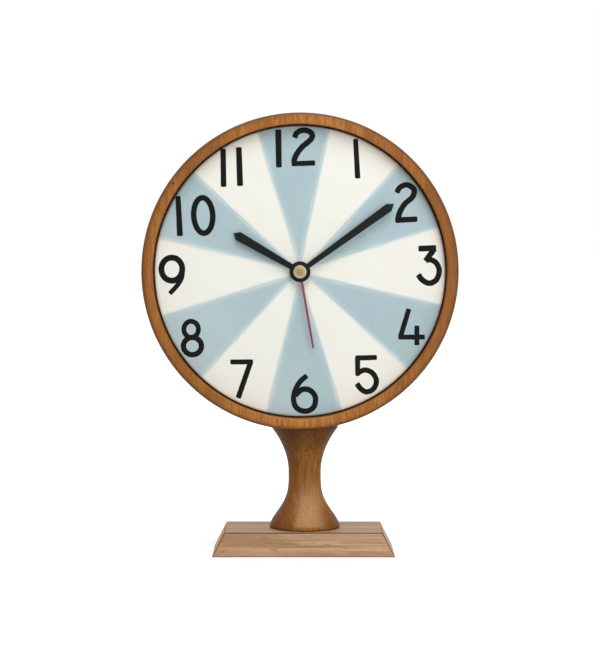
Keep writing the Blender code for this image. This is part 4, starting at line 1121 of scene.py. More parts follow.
@dataclass(frozen=True)
class BoardFinish:
    """Green solder mask with copper tracks showing through it."""

    name: str = "board_green"
    mask: Tone = Tone(28, 92, 58)
    track: Tone = Tone(58, 128, 78)
    track_pitch: float = 0.0016
    track_share: float = 0.35
    track_blur: float = 1.3
    bend_scale: float = 150.0
    bend_reach: float = 0.0048
    roughness: float = 0.35

    def material(self) -> bpy.types.Material:
        """Return the board as a material."""
        shader = Shader(self.name)
        bend = shader.noise(shader.place, self.bend_scale, detail=0.0)
        x, _, z = shader.parts(shader.place)
        across = bend * self.bend_reach + (x + z)
        step = shader.sum_up("PINGPONG", across, self.track_pitch / 2)
        edge = self.track_share * self.track_pitch / 2
        off_track = shader.eased(step, edge, self.track_blur * edge)
        green = shader.layered(self.track, (off_track, self.mask))
        return shader.dress(Base_Color=green, Roughness=self.roughness)


@dataclass(frozen=True)
class SleeveFinish:
    """Plain shrink sleeve of the battery: a dark sleeve with two pale bands."""

    name: str = "battery_sleeve"
    sleeve: Tone = Tone(62, 84, 96)
    band: Tone = Tone(206, 208, 204)
    bands: tuple[Point, ...] = ((0.0112, 0.0128), (0.0136, 0.0142))
    print_edge: float = 0.00012
    skin_scale: float = 240.0
    skin_share: float = 0.12
    skin_depth: float = 0.00003
    roughness: float = 0.28
    gloss: float = 0.3
    gloss_roughness: float = 0.1

    def material(self) -> bpy.types.Material:
        """Return the sleeve as a material."""
        shader = Shader(self.name)
        x, _, _ = shader.parts(shader.place)
        skin = shader.noise(shader.place, self.skin_scale)
        shade = shader.layered(self.sleeve, (skin * self.skin_share, self.band))
        for low, high in self.bands:
            begun = shader.eased(x, low, low + self.print_edge)
            ended = shader.eased(x, high, high + self.print_edge)
            shade = shader.layered(shade, (begun - ended, self.band))
        shader.dress(Base_Color=shade, Roughness=self.roughness)
        shader.dress(Coat_Weight=self.gloss, Coat_Roughness=self.gloss_roughness)
        return shader.dress(Normal=shader.relief(skin, self.skin_depth))


class Palette:
    """Every finish of the clock, under the name of the slot that it fills in the record."""

    def __init__(self, dial_height: float, dial_face: float, dial_rim: float) -> None:
        """Mix the finishes.

        Args:
            dial_height: Height of the dial's middle.
            dial_face: Where the face of the dial is along Y.
            dial_rim: Radius of the dial.
        """
        finishes = [
            WoodFinish(
                "ring_wood",
                pale=Tone(198, 138, 74),
                middle=Tone(191, 125, 58),
                dark=Tone(130, 76, 28),
                burnished_and_shade=Tone(90, 52, 24),
                pale_and_highlight=Tone(206, 158, 112),
                grain=Grain.UPRIGHT,
                figure_shift=(1.4, 0.0, 0.5),
                figure_share=0.45,
                fibre_across=780.0,
                fibre_along=80.0,
                fibre_share=0.62,
                # These bands paint the ring lighter at top and bottom and darker on its diagonals.
                band_pitch=0.165,
                band_place=0.006,
                band_share=0.52,
                shine=0.12,
                marks=((-0.0797, 0.2356, 0.0014), (-0.0155, 0.2764, 0.0010)),
            ),
            WoodFinish(
                "stem_wood",
                pale=Tone(186, 132, 72),
                middle=Tone(160, 106, 46),
                dark=Tone(104, 56, 16),
                burnished_and_shade=Tone(66, 32, 10),
                pale_and_highlight=Tone(206, 164, 122),
                grain=Grain.UPRIGHT,
                figure_across=55.0,
                figure_share=0.6,
                # These bands paint a highlight down the stem's middle and shade on its sides.
                band_pitch=0.044,
                band_place=0.006,
                band_share=0.62,
                roughness=0.55,
                varnish=0.0,
                shine=0.14,
            ),
            WoodFinish(
                "base_wood",
                pale=Tone(220, 192, 156),
                middle=Tone(214, 182, 147),
                dark=Tone(164, 124, 88),
                burnished_and_shade=Tone(104, 62, 38),
                pale_and_highlight=Tone(200, 186, 168),
                grain=Grain.LENGTHWISE,
                figure_across=190.0,
                figure_along=7.0,
                figure_share=0.75,
                fibre_across=680.0,
                fibre_along=17.0,
                # These bands darken the board to the left: partly its own tone, partly painted
                # light from the right.
                band_pitch=0.24,
                band_place=0.058,
                band_share=0.4,
                roughness=0.55,
                varnish=0.0,
            ),
            WoodFinish(
                "dowel_wood",
                pale=Tone(226, 196, 154),
                middle=Tone(214, 180, 136),
                dark=Tone(192, 152, 108),
                burnished_and_shade=Tone(150, 108, 70),
                pale_and_highlight=Tone(232, 206, 168),
                grain=Grain.UPRIGHT,
                varnish=0.0,
            ),
            PaintedGlaze(dial_height, dial_face, dial_rim),
            BlackEnamel(dial_face),
            NeedleEnamel(dial_height),
            TurnedBrass(dial_height),
            MetalFinish("steel", Tone(206, 206, 204), Tone(168, 168, 170)),
            MetalFinish("motor_iron", Tone(128, 130, 134), Tone(96, 98, 104), roughness=0.46),
            MetalFinish("ferrite", Tone(74, 74, 78), Tone(54, 54, 58), roughness=0.6),
            MouldedFinish("black_rubber", Tone(30, 30, 31), Tone(44, 44, 44), roughness=0.78),
            MouldedFinish("black_plastic", Tone(34, 34, 36), Tone(46, 46, 48)),
            MouldedFinish("white_plastic", Tone(232, 231, 224), Tone(220, 218, 208), roughness=0.4),
            WindingFinish(),
            BoardFinish(),
            SleeveFinish(),
        ]
        self.materials = {finish.name: finish.material() for finish in finishes}

    def __getitem__(self, slot: str) -> bpy.types.Material:
        """Return a slot's material.

        Args:
            slot: The slot's name.
        """
        return self.materials[slot]


def dial_frame(height: float, forward: float = 0.0) -> Matrix:
    """Return axes with Z out of the dial's face and Y up.

    Args:
        height: Height of the dial's middle.
        forward: How far in front of the clock's mid-plane the axes' middle is.

    Returns:
        The axes.
    """
    upright = Matrix.Rotation(math.radians(90.0), 4, "X")
    return Matrix.Translation((0.0, -forward, height)) @ upright


@dataclass(frozen=True)
class Assembly:
    """One sub-assembly of the clock, which hands its pieces in with their finishes."""

    palette: Palette
    dial_height: float

    def add(
        self, name: str, mesh: bpy.types.Mesh, body: Body, slot: str, *replaced: str
    ) -> None:
        """Hand a finished mesh in as a piece of the clock.

        Args:
            name: The piece's name.
            mesh: Its mesh, in its place.
            body: What it rides on.
            slot: The record's slot that it takes its finish from.
            replaced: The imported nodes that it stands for.
        """
        if not any(mesh.materials):
            mesh.materials.clear()
            mesh.materials.append(self.palette[slot])
        thing = linked(name, smoothed(mesh))
        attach(thing, body.value)
        if replaced:
            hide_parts(*replaced)
        LOG.info("made %s: %d faces on %s", name, len(mesh.polygons), body.value)


@dataclass(frozen=True)
class FrameRing(Assembly):
    """Turned wooden ring: a front lip, a ledge behind the dial and an open back."""

    dial_back: float
    seat_gap: float = 0.0003
    outer_radius: float = 0.100
    half_depth: float = 0.0225
    lip_width: float = 0.0071
    ledge_width: float = 0.008
    outer_easing: float = 0.0028
    lip_easing: float = 0.0008
    face_margin: float = 0.00392
    wall_margin: float = 0.0084
    lip_margin: float = 0.00144
    lip_depth: float = 0.0016
    outer_burnish_and_shade: Point = (-0.2, -0.9)
    back_tone: float = -0.4
    bore_tone: float = -0.3
    recess_shade_tone: float = -0.5
    lip_tones: Point = (-0.1, 0.2)
    edge_steps: int = 8
    sides: int = 224

    def profile(self) -> list[TurnPoint]:
        """Return the ring's section: burnish and painted shade on its outer edges, painted shade
        down its inner wall, and a pale worn lip.
        """
        front, outer = self.half_depth, self.outer_radius
        opening = outer - self.lip_width
        bore = opening - self.ledge_width
        ledge = -self.dial_back - self.seat_gap
        wide, fine, steps = self.outer_easing, self.lip_easing, self.edge_steps
        backs, bores = (self.back_tone, self.back_tone), (self.bore_tone, self.bore_tone)
        points = [TurnPoint(outer - self.face_margin, front)]
        # The outer rounding darkens towards the side: burnish and painted shade.
        points += rounded((outer - wide, front - wide), wide, 90.0, 0.0, self.outer_burnish_and_shade, steps)
        points += [TurnPoint(outer, front - self.wall_margin)]
        points += [TurnPoint(outer, self.wall_margin - front)]
        points += rounded((outer - wide, wide - front), wide, 0.0, -90.0, backs, steps)
        points += rounded((bore + fine, fine - front), fine, 270.0, 180.0, bores)
        # The inner wall darkens towards the dial: painted shade in the recess.
        points += [TurnPoint(bore, ledge), TurnPoint(opening, ledge, self.recess_shade_tone)]
        points += [TurnPoint(opening, front - self.lip_depth, self.lip_tones[0])]
        points += rounded((opening + fine, front - fine), fine, 180.0, 90.0, self.lip_tones)
        points += [TurnPoint(opening + self.lip_margin, front)]
        return points

    def make(self) -> None:
        """Turn the ring."""
        mesh = turned(self.profile(), self.sides, dial_frame(self.dial_height), closed=True)
        self.add("turned_ring", mesh, Body.CLOCK, "ring_wood", "frame_ring")


@dataclass(frozen=True)
class DialPlate(Assembly):
    """Round glazed plate with a rounded rim and a hole for the movement's bush."""

    face: float
    radius: float
    thickness: float = 0.006
    rim_easing: float = 0.001
    hole_radius: float = 0.00405
    sides: int = 224

    def make(self) -> None:
        """Make the plate."""
        edge = self.rim_easing
        front = -self.face
        back = front - self.thickness
        points = rounded((self.radius - edge, front - edge), edge, 90.0, 0.0)
        points += [TurnPoint(self.radius, back), TurnPoint(self.hole_radius, back)]
        points += [TurnPoint(self.hole_radius, front)]
        mesh = turned(points, self.sides, dial_frame(self.dial_height), closed=True)
        self.add("dial_plate", mesh, Body.CLOCK, "glazed_dial", "dial")


@dataclass(frozen=True)
class Stroke:
    """One stroke of the lettering brush: its knots and its width, in millimetres.

    The knots are counted from the dial's middle, to the right and up. The width goes evenly from
    the first to the second figure along the stroke.
    """

    knots: tuple[Point, ...]
    widths: Point
    ring: bool = False


def oval(
    centre: Point,
    half_width: float,
    half_height: float,
    lean: float,
    width: float,
    count: int = 12,
) -> Stroke:
    """Return a stroke that goes round an oval.

    Args:
        centre: Its middle.
        half_width: Half of its width, to the middle of the stroke.
        half_height: Half of its height.
        lean: How far its top leans to the right, in degrees.
        width: Width of the stroke.
        count: Number of knots on it.

    Returns:
        The stroke.
    """
    turn = math.radians(-lean)
    knots = []
    for step in range(count):
        angle = math.tau * step / count
        x, y = half_width * math.cos(angle), half_height * math.sin(angle)
        across = centre[0] + x * math.cos(turn) - y * math.sin(turn)
        knots.append((across, centre[1] + x * math.sin(turn) + y * math.cos(turn)))
    return Stroke(tuple(knots), (width, width), ring=True)


NUMERALS: dict[str, tuple[Stroke, ...]] = {
    "1": (Stroke(((35.0, 83.6), (36.4, 58.7)), (3.2, 3.5)),),
    "2": (
        Stroke(
            ((61.1, 49.7), (63.1, 53.1), (67.7, 54.7), (71.9, 51.7), (71.1, 47.2))
            + ((66.2, 42.7), (63.1, 37.7), (61.8, 33.2)),
            (3.5, 3.7),
        ),
        Stroke(((60.1, 32.4), (74.1, 33.1)), (3.7, 3.5)),
    ),
    "3": (
        Stroke(((74.8, 14.4), (86.0, 14.9)), (3.7, 3.9)),
        Stroke(((85.1, 14.6), (79.3, 6.6)), (3.7, 3.7)),
        Stroke(
            ((79.5, 7.0), (82.7, 7.4), (86.2, 5.2), (88.0, 0.6), (86.4, -4.9), (82.0, -7.4))
            + ((77.4, -5.4), (74.7, -1.9)),
            (3.5, 3.7),
        ),
    ),
    "4": (
        Stroke(((68.9, -23.6), (63.5, -41.7)), (3.2, 3.4)),
        Stroke(((62.3, -41.5), (79.0, -41.5)), (3.2, 3.2)),
        Stroke(((74.0, -34.2), (74.0, -46.6)), (3.2, 3.2)),
    ),
    "5": (
        Stroke(((48.7, -54.4), (35.2, -54.8)), (3.2, 3.4)),
        Stroke(((36.5, -54.0), (36.5, -66.2)), (3.5, 3.0)),
        Stroke(
            ((37.0, -64.0), (41.2, -62.4), (45.9, -64.3), (48.4, -69.2), (46.7, -74.2))
            + ((42.4, -76.3), (38.6, -74.4), (36.0, -70.9)),
            (3.4, 3.5),
        ),
    ),
    "6": (
        Stroke(
            ((4.4, -65.9), (-0.1, -70.0), (-3.0, -75.2), (-4.1, -80.9), (-2.6, -85.9), (1.2, -88.3))
            + ((5.8, -88.1), (9.2, -85.0), (9.6, -79.2), (6.0, -75.1), (1.1, -74.9), (-3.1, -78.6)),
            (3.4, 3.6),
        ),
    ),
    "7": (
        Stroke(((-44.1, -57.3), (-29.7, -57.2)), (3.2, 3.2)),
        Stroke(((-31.1, -56.8), (-39.2, -80.2)), (3.4, 3.5)),
    ),
    "8": (
        oval((-68.9, -36.6), 4.6, 5.1, 0.0, 3.2),
        oval((-68.1, -47.2), 5.7, 5.5, 0.0, 3.5),
    ),
    "9": (
        oval((-81.0, 1.5), 6.6, 7.3, 0.0, 3.8),
        Stroke(((-74.3, 1.6), (-74.8, -3.7), (-77.5, -8.6), (-82.4, -14.0)), (3.3, 3.0)),
    ),
    "10": (
        Stroke(((-77.0, 47.7), (-75.8, 22.4)), (3.3, 3.9)),
        oval((-61.1, 35.4), 6.0, 11.2, -3.0, 3.6),
    ),
    "11": (
        Stroke(((-48.5, 77.4), (-48.2, 53.4)), (3.5, 3.6)),
        Stroke(((-38.6, 78.4), (-37.8, 54.0)), (3.7, 3.9)),
    ),
    "12": (
        Stroke(((-13.7, 89.5), (-13.3, 65.6)), (4.0, 3.7)),
        Stroke(
            ((-3.5, 84.3), (-1.7, 87.7), (2.9, 89.1), (7.3, 87.1), (7.0, 83.5), (1.1, 78.3))
            + ((-2.5, 73.3), (-4.0, 68.9)),
            (3.6, 3.7),
        ),
        Stroke(((-5.3, 67.9), (9.5, 68.5)), (3.2, 3.4)),
    ),
}


@dataclass(frozen=True)
class Numerals(Assembly):
    """The twelve numbers, brushed on thick so that they stand up a little from the dial."""

    face: float
    relief: float = 0.00018
    rooting: float = 0.00005
    shoulder: float = 0.30
    corner: float = 0.0006
    step: float = 0.0003
    profile_points: int = 11

    def carrier(self, strokes: Iterable[Stroke]) -> bpy.types.Mesh:
        """Return the knots of a number as a mesh of edges, with half the stroke's width at each.

        Args:
            strokes: The number's strokes.
        """
        spots, edges, halves = [], [], []
        for stroke in strokes:
            first = len(spots)
            count = len(stroke.knots)
            for i, (x, y) in enumerate(stroke.knots):
                share = i / (count - 1)
                width = stroke.widths[0] + (stroke.widths[1] - stroke.widths[0]) * share
                spots.append((x * MM, y * MM, 0.0))
                halves.append(width * MM / 2)
            edges += [(first + i, first + i + 1) for i in range(count - 1)]
            if stroke.ring:
                edges.append((first + count - 1, first))
        mesh = bpy.data.meshes.new("knots")
        mesh.from_pydata(spots, edges, [])
        layer = mesh.attributes.new("half_width", "FLOAT", "POINT")
        layer.data.foreach_set("value", halves)
        return mesh

    def brushed(self, strokes: Iterable[Stroke]) -> bpy.types.Mesh:
        """Return a number's strokes as one raised mesh, lying on its back.

        Args:
            strokes: The number's strokes.
        """
        tree = Recipe("brush_strokes")
        relief, rooting, corner, step, points = tree.named(
            relief=self.relief,
            rooting=self.rooting,
            corner_radius=self.corner,
            step=self.step,
            profile_points=self.profile_points,
        )
        line = tree.add("GeometryNodeMeshToCurve", None, {"Mesh": tree.carrier}).outputs[0]
        smooth = {"spline_type": "CATMULL_ROM"}
        line = tree.add("GeometryNodeCurveSplineType", smooth, {"Curve": line}).outputs[0]
        feeds = {"Curve": line, "Length": step}
        line = tree.add("GeometryNodeResampleCurve", {"mode": "LENGTH"}, feeds).outputs[0]
        along = Value(tree, tree.add("GeometryNodeSplineParameter").outputs["Length"])
        whole = Value(tree, tree.add("GeometryNodeSplineLength").outputs["Length"])
        ring = Value(tree, tree.add("GeometryNodeInputSplineCyclic").outputs[0])
        pulled = tree.set_back(corner, along.at_most(whole - along)) * (1.0 - ring)
        line = tree.stored(line, "brush_half", tree.read("half_width") - pulled)
        upright = {"mode": "Z_UP"}
        line = tree.add("GeometryNodeSetCurveNormal", upright, {"Curve": line}).outputs[0]
        feeds = {"Resolution": points, "Radius": 1.0, "Sweep Angle": math.pi}
        bow = tree.add("GeometryNodeCurveArc", {"mode": "RADIUS"}, feeds).outputs[0]
        feeds = {"Geometry": bow, "Cyclic": True}
        bow = tree.add("GeometryNodeSetSplineCyclic", None, feeds).outputs[0]
        half = tree.read("brush_half")
        feeds = {"Curve": line, "Profile Curve": bow, "Scale": half, "Fill Caps": True}
        sweep = tree.add("GeometryNodeCurveToMesh", None, feeds).outputs[0]
        x, y, z = tree.position()
        rise = (abs(z) / half) ** self.shoulder
        raised = tree.moved(sweep, x, y, rise * (relief + rooting) - rooting)
        return tree.cook(tree.welded(raised), self.carrier(strokes), self.palette["black_enamel"])

    def make(self) -> None:
        """Paint the twelve numbers."""
        for number, strokes in NUMERALS.items():
            mesh = self.brushed(strokes)
            mesh.transform(dial_frame(self.dial_height, -self.face))
            self.add(f"numeral_{number}", mesh, Body.CLOCK, "black_enamel")


@dataclass(frozen=True)
class Spool(Assembly):
    """Turned stem: it swells to its foot and its head, and its top is hollowed to the ring."""

    ring_radius: float
    bottom: float
    centre: float
    height: float = 0.0639
    rim: float = 0.007
    foot_radius: float = 0.0224
    foot_power: float = 1.68
    foot_easing: float = 0.0006
    waist_radius: float = 0.01035
    waist_height: float = 0.0350
    head_radius: float = 0.0213
    head_flare: float = 0.0107
    head_power: float = 2.05
    head_shade: float = 0.62
    foot_shade: float = 0.65
    foot_shade_height: float = 0.0032
    flare_rub: float = 0.46
    flare_level: float = 0.027
    flare_highlight_stretch: Point = (1.5, 0.5)
    seat_gap: float = 0.0003
    saddle_reach: float = 3.0
    saddle_sides: int = 256
    sides: int = 128
    rows: int = 180

    def radius_at(self, tree: Recipe, level: Value) -> Value:
        """Return the stem's radius at a height.

        Args:
            tree: The tree that shapes the stem.
            level: The height over the plinth.
        """
        height, foot, foot_power, foot_easing = tree.named(
            height=self.height,
            foot_radius=self.foot_radius,
            foot_power=self.foot_power,
            foot_easing=self.foot_easing,
        )
        waist, waist_height, head, flare, head_power = tree.named(
            waist_radius=self.waist_radius,
            waist_height=self.waist_height,
            head_radius=self.head_radius,
            head_flare=self.head_flare,
            head_power=self.head_power,
        )
        below = ((waist_height - level) / waist_height).at_least(0.0) ** foot_power
        swell = (1.0 - tree.sum_up("COSINE", below * math.pi)) * 0.5
        above = ((level - waist_height) / (height - waist_height)).at_least(0.0) ** head_power
        radius = waist + ((foot - waist) * swell + flare * above)
        radius = radius.at_most(head.at_least(foot))
        past_waist = tree.sum_up("GREATER_THAN", level, waist_height)
        radius = radius + past_waist * (radius.at_most(head) - radius)
        return radius - tree.set_back(foot_easing, level)

    def shade_at(self, tree: Recipe, level: Value) -> Value:
        """Return the painted shade on the stem at a height: under the ring at its head and at its
        foot, less than 0 where a painted highlight pales its flare.

        Args:
            tree: The tree that shapes the stem.
            level: The height over the plinth.
        """
        head_shade, foot_shade, flare_rub, flare_level = tree.named(
            head_shade=self.head_shade,
            foot_shade=self.foot_shade,
            flare_rub=self.flare_rub,
            flare_level=self.flare_level,
        )
        # Painted shade under the ring at the head, painted contact shade at the foot, and a painted
        # highlight on the flare.
        at_head = tree.eased(level, self.waist_height, self.height) * head_shade
        at_foot = (1.0 - tree.eased(level, 0.0, self.foot_shade_height)) * foot_shade
        pale_and_highlight = tree.eased(level / flare_level, *self.flare_highlight_stretch) * flare_rub
        return at_head + at_foot - pale_and_highlight

    def saddle(self, tree: Recipe) -> Socket:
        """Return the roll, as wide as the ring, that hollows the stem's top.

        Args:
            tree: The tree that shapes the stem.
        """
        radius, height, length, sides = tree.named(
            saddle_radius=self.ring_radius + self.seat_gap,
            saddle_height=self.dial_height - self.bottom,
            saddle_length=self.saddle_reach * self.head_radius,
            saddle_sides=self.saddle_sides,
        )
        spot = tree.joined(-self.centre, 0.0, height)
        feeds = {"Geometry": tree.drum(sides, radius, length), "Translation": spot}
        feeds["Rotation"] = (math.radians(90.0), 0.0, 0.0)
        return tree.add("GeometryNodeTransform", None, feeds).outputs[0]

    def make(self) -> None:
        """Turn the spool."""
        tree = Recipe("turned_spool")
        sides, rows, whole = tree.named(
            sides=self.sides, rows=self.rows, whole_height=self.height + self.rim
        )
        x, y, z = tree.position()
        level = z + whole * 0.5
        radius = self.radius_at(tree, level)
        blank = tree.drum(sides, 1.0, whole, rows)
        shaded = tree.stored(blank, "tone", self.shade_at(tree, level) * -1.0)
        feeds = {"Mesh 1": tree.moved(shaded, x * radius, y * radius, level)}
        feeds["Mesh 2"] = self.saddle(tree)
        cut = {"operation": "DIFFERENCE", "solver": "EXACT"}
        hollowed = tree.add("GeometryNodeMeshBoolean", cut, feeds).outputs[0]
        mesh = tree.cook(hollowed, bpy.data.meshes.new("blank"), self.palette["stem_wood"])
        mesh.transform(Matrix.Translation((self.centre, 0.0, self.bottom)))
        self.add("spool_stem", mesh, Body.CLOCK, "stem_wood", "stem")


@dataclass(frozen=True)
class Plinth(Assembly):
    """Wooden plinth with sloped ends, eased edges and a sunk screw hole in its foot."""

    centre: float
    screw_centre: float
    bottom_length: float = 0.1158
    top_length: float = 0.1003
    depth: float = 0.053
    height: float = 0.0156
    easing: float = 0.0005
    easing_steps: int = 4
    arris_fade: float = 0.0006
    end_painted_sheen: float = 0.55
    top_painted_shade: float = -0.33
    front_tone: float = -0.8
    foot_tone: float = -0.6
    back_tone: float = -0.4
    hole_radius: float = 0.0045
    hole_depth: float = 0.0036
    hole_sides: int = 48

    def face_tone(self, normal: Vector) -> float:
        """Return the tone of one of the plinth's flat faces: painted sheen on its ends, painted
        shade on its top.

        Args:
            normal: Where the face looks.
        """
        if abs(normal.x) > max(abs(normal.y), abs(normal.z)):
            # Pale ends are a painted sheen, and a darker top is painted shade.
            return self.end_painted_sheen
        return self.top_painted_shade if normal.z > abs(normal.y) else 0.0

    def arris_tone(self, spot: Vector) -> float:
        """Return the tone of an eased edge, which fades towards the foot in front.

        Args:
            spot: A place on the edge.
        """
        if spot.y > 0.0:
            return self.back_tone
        share = spot.z / self.height
        return self.foot_tone + (self.front_tone - self.foot_tone) * share

    def block(self) -> bpy.types.Mesh:
        """Return the plinth without its screw hole."""
        bm = bmesh.new()
        tone = bm.verts.layers.float.new("tone")
        low, high = self.bottom_length / 2, self.top_length / 2
        outline = [(-low, 0.0), (low, 0.0), (high, self.height), (-high, self.height)]
        sections = []
        for y in (-self.depth / 2, self.depth / 2):
            sections.append([bm.verts.new((self.centre + x, y, z)) for x, z in outline])
        front, back = sections
        bm.faces.new(front)
        bm.faces.new(reversed(back))
        for i in range(len(outline)):
            after = (i + 1) % len(outline)
            bm.faces.new((front[after], front[i], back[i], back[after]))
        eased = bmesh.ops.bevel(
            bm, geom=list(bm.edges), offset=self.easing, segments=self.easing_steps,
            profile=ROUND, affect="EDGES",
        )
        for vertex in eased["verts"]:
            vertex[tone] = self.arris_tone(vertex.co)
        wide = [face for face in bm.faces if face.calc_area() > self.depth * self.easing * 2]
        bmesh.ops.inset_individual(bm, faces=wide, thickness=self.arris_fade)
        for face in wide:
            for vertex in face.verts:
                vertex[tone] = self.face_tone(face.normal)
        return handed_over(bm, "plinth")

    def make(self) -> None:
        """Shape the plinth and drill it."""
        radius, depth = self.hole_radius, self.hole_depth
        hole = [TurnPoint(0.0, -depth), TurnPoint(radius, -depth)]
        hole += [TurnPoint(radius, depth), TurnPoint(0.0, depth)]
        place = Matrix.Translation((self.screw_centre, 0.0, 0.0))
        drill = turned(hole, self.hole_sides, place, closed=False)
        mesh = carved(smoothed(self.block()), smoothed(drill))
        self.add("plinth", mesh, Body.CLOCK, "base_wood", "base")


@dataclass(frozen=True)
class HandShape:
    """One hand: its blade, its round boss and its bore."""

    name: str
    node: str
    body: Body
    slot: str
    length: float
    root_width: float
    end_width: float
    point: float
    boss_radius: float
    bore_radius: float
    thickness: float
    bearing: float
    easing: float = 0.0001
    boss_steps: int = 72
    bore_steps: int = 32

    def outlines(self) -> list[list[Point]]:
        """Return the hand's outline, pointing up, and its bore."""
        root, end = self.root_width / 2, self.end_width / 2
        join = math.asin(root / self.boss_radius)
        start, sweep = math.pi / 2 + join, math.tau - 2 * join
        outline = []
        for step in range(self.boss_steps + 1):
            outline.append(on_circle(self.boss_radius, start + sweep * step / self.boss_steps))
        outline.append((end, self.length - self.point))
        if self.point:
            outline.append((0.0, self.length))
        outline.append((-end, self.length - self.point))
        bore = []
        for step in range(self.bore_steps):
            bore.append(on_circle(self.bore_radius, math.tau * step / self.bore_steps))
        return [outline, bore]


HAND_SHAPES = (
    HandShape(
        "hour_blade", "hour_hand", Body.HOUR, "black_enamel", length=0.0485, root_width=0.0036,
        end_width=0.0059, point=0.0035, boss_radius=0.0058, bore_radius=0.00215,
        thickness=0.0005, bearing=300.0,
    ),
    HandShape(
        "minute_blade", "minute_hand", Body.MINUTE, "black_enamel", length=0.0730,
        root_width=0.0032, end_width=0.0055, point=0.0040, boss_radius=0.0066,
        bore_radius=0.00135, thickness=0.0005, bearing=54.15,
    ),
    HandShape(
        "second_needle", "second_hand", Body.SECONDS, "red_enamel", length=0.0490,
        root_width=0.0014, end_width=0.0013, point=0.0, boss_radius=0.0025,
        bore_radius=0.00055, thickness=0.0003, bearing=170.1, easing=0.00006,
    ),
)


@dataclass(frozen=True)
class Hands(Assembly):
    """The hour, minute and second hands, as they stand in the picture, and the cap over them."""

    cap_radius: float = 0.0042
    cap_height: float = 0.0010
    cap_chamfer: float = 0.0003
    cap_peak: float = 0.0003
    cap_sides: int = 96
    grooves: int = 13
    groove_depth: float = 0.000018
    groove_steps: int = 6

    def make(self) -> None:
        """Make the hands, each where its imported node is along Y, and the cap."""
        for shape in HAND_SHAPES:
            back = -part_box(shape.node)[1].y
            turn = Matrix.Rotation(-math.radians(shape.bearing), 4, "Z")
            place = dial_frame(self.dial_height, back) @ turn
            mesh = flat_part(shape.outlines(), shape.thickness, shape.easing, place)
            self.add(shape.name, mesh, shape.body, shape.slot, shape.node)
        self.make_cap()

    def make_cap(self) -> None:
        """Turn the brass cap, with a shallow cone of lathe grooves on its face."""
        back = -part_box("second_cap")[1].y
        top = back + self.cap_height
        flat = self.cap_radius - self.cap_chamfer
        steps = self.grooves * self.groove_steps
        points = [TurnPoint(0.0, back), TurnPoint(self.cap_radius, back)]
        points.append(TurnPoint(self.cap_radius, top - self.cap_chamfer))
        for step in range(steps, 0, -1):
            share = step / steps
            groove = self.groove_depth * (1 - math.cos(math.tau * share * self.grooves)) / 2
            points.append(TurnPoint(flat * share, top + self.cap_peak * (1 - share) - groove))
        points.append(TurnPoint(0.0, top + self.cap_peak))
        mesh = turned(points, self.cap_sides, dial_frame(self.dial_height), closed=False)
        self.add("brass_cap", mesh, Body.SECONDS, "turned_brass", "second_cap")


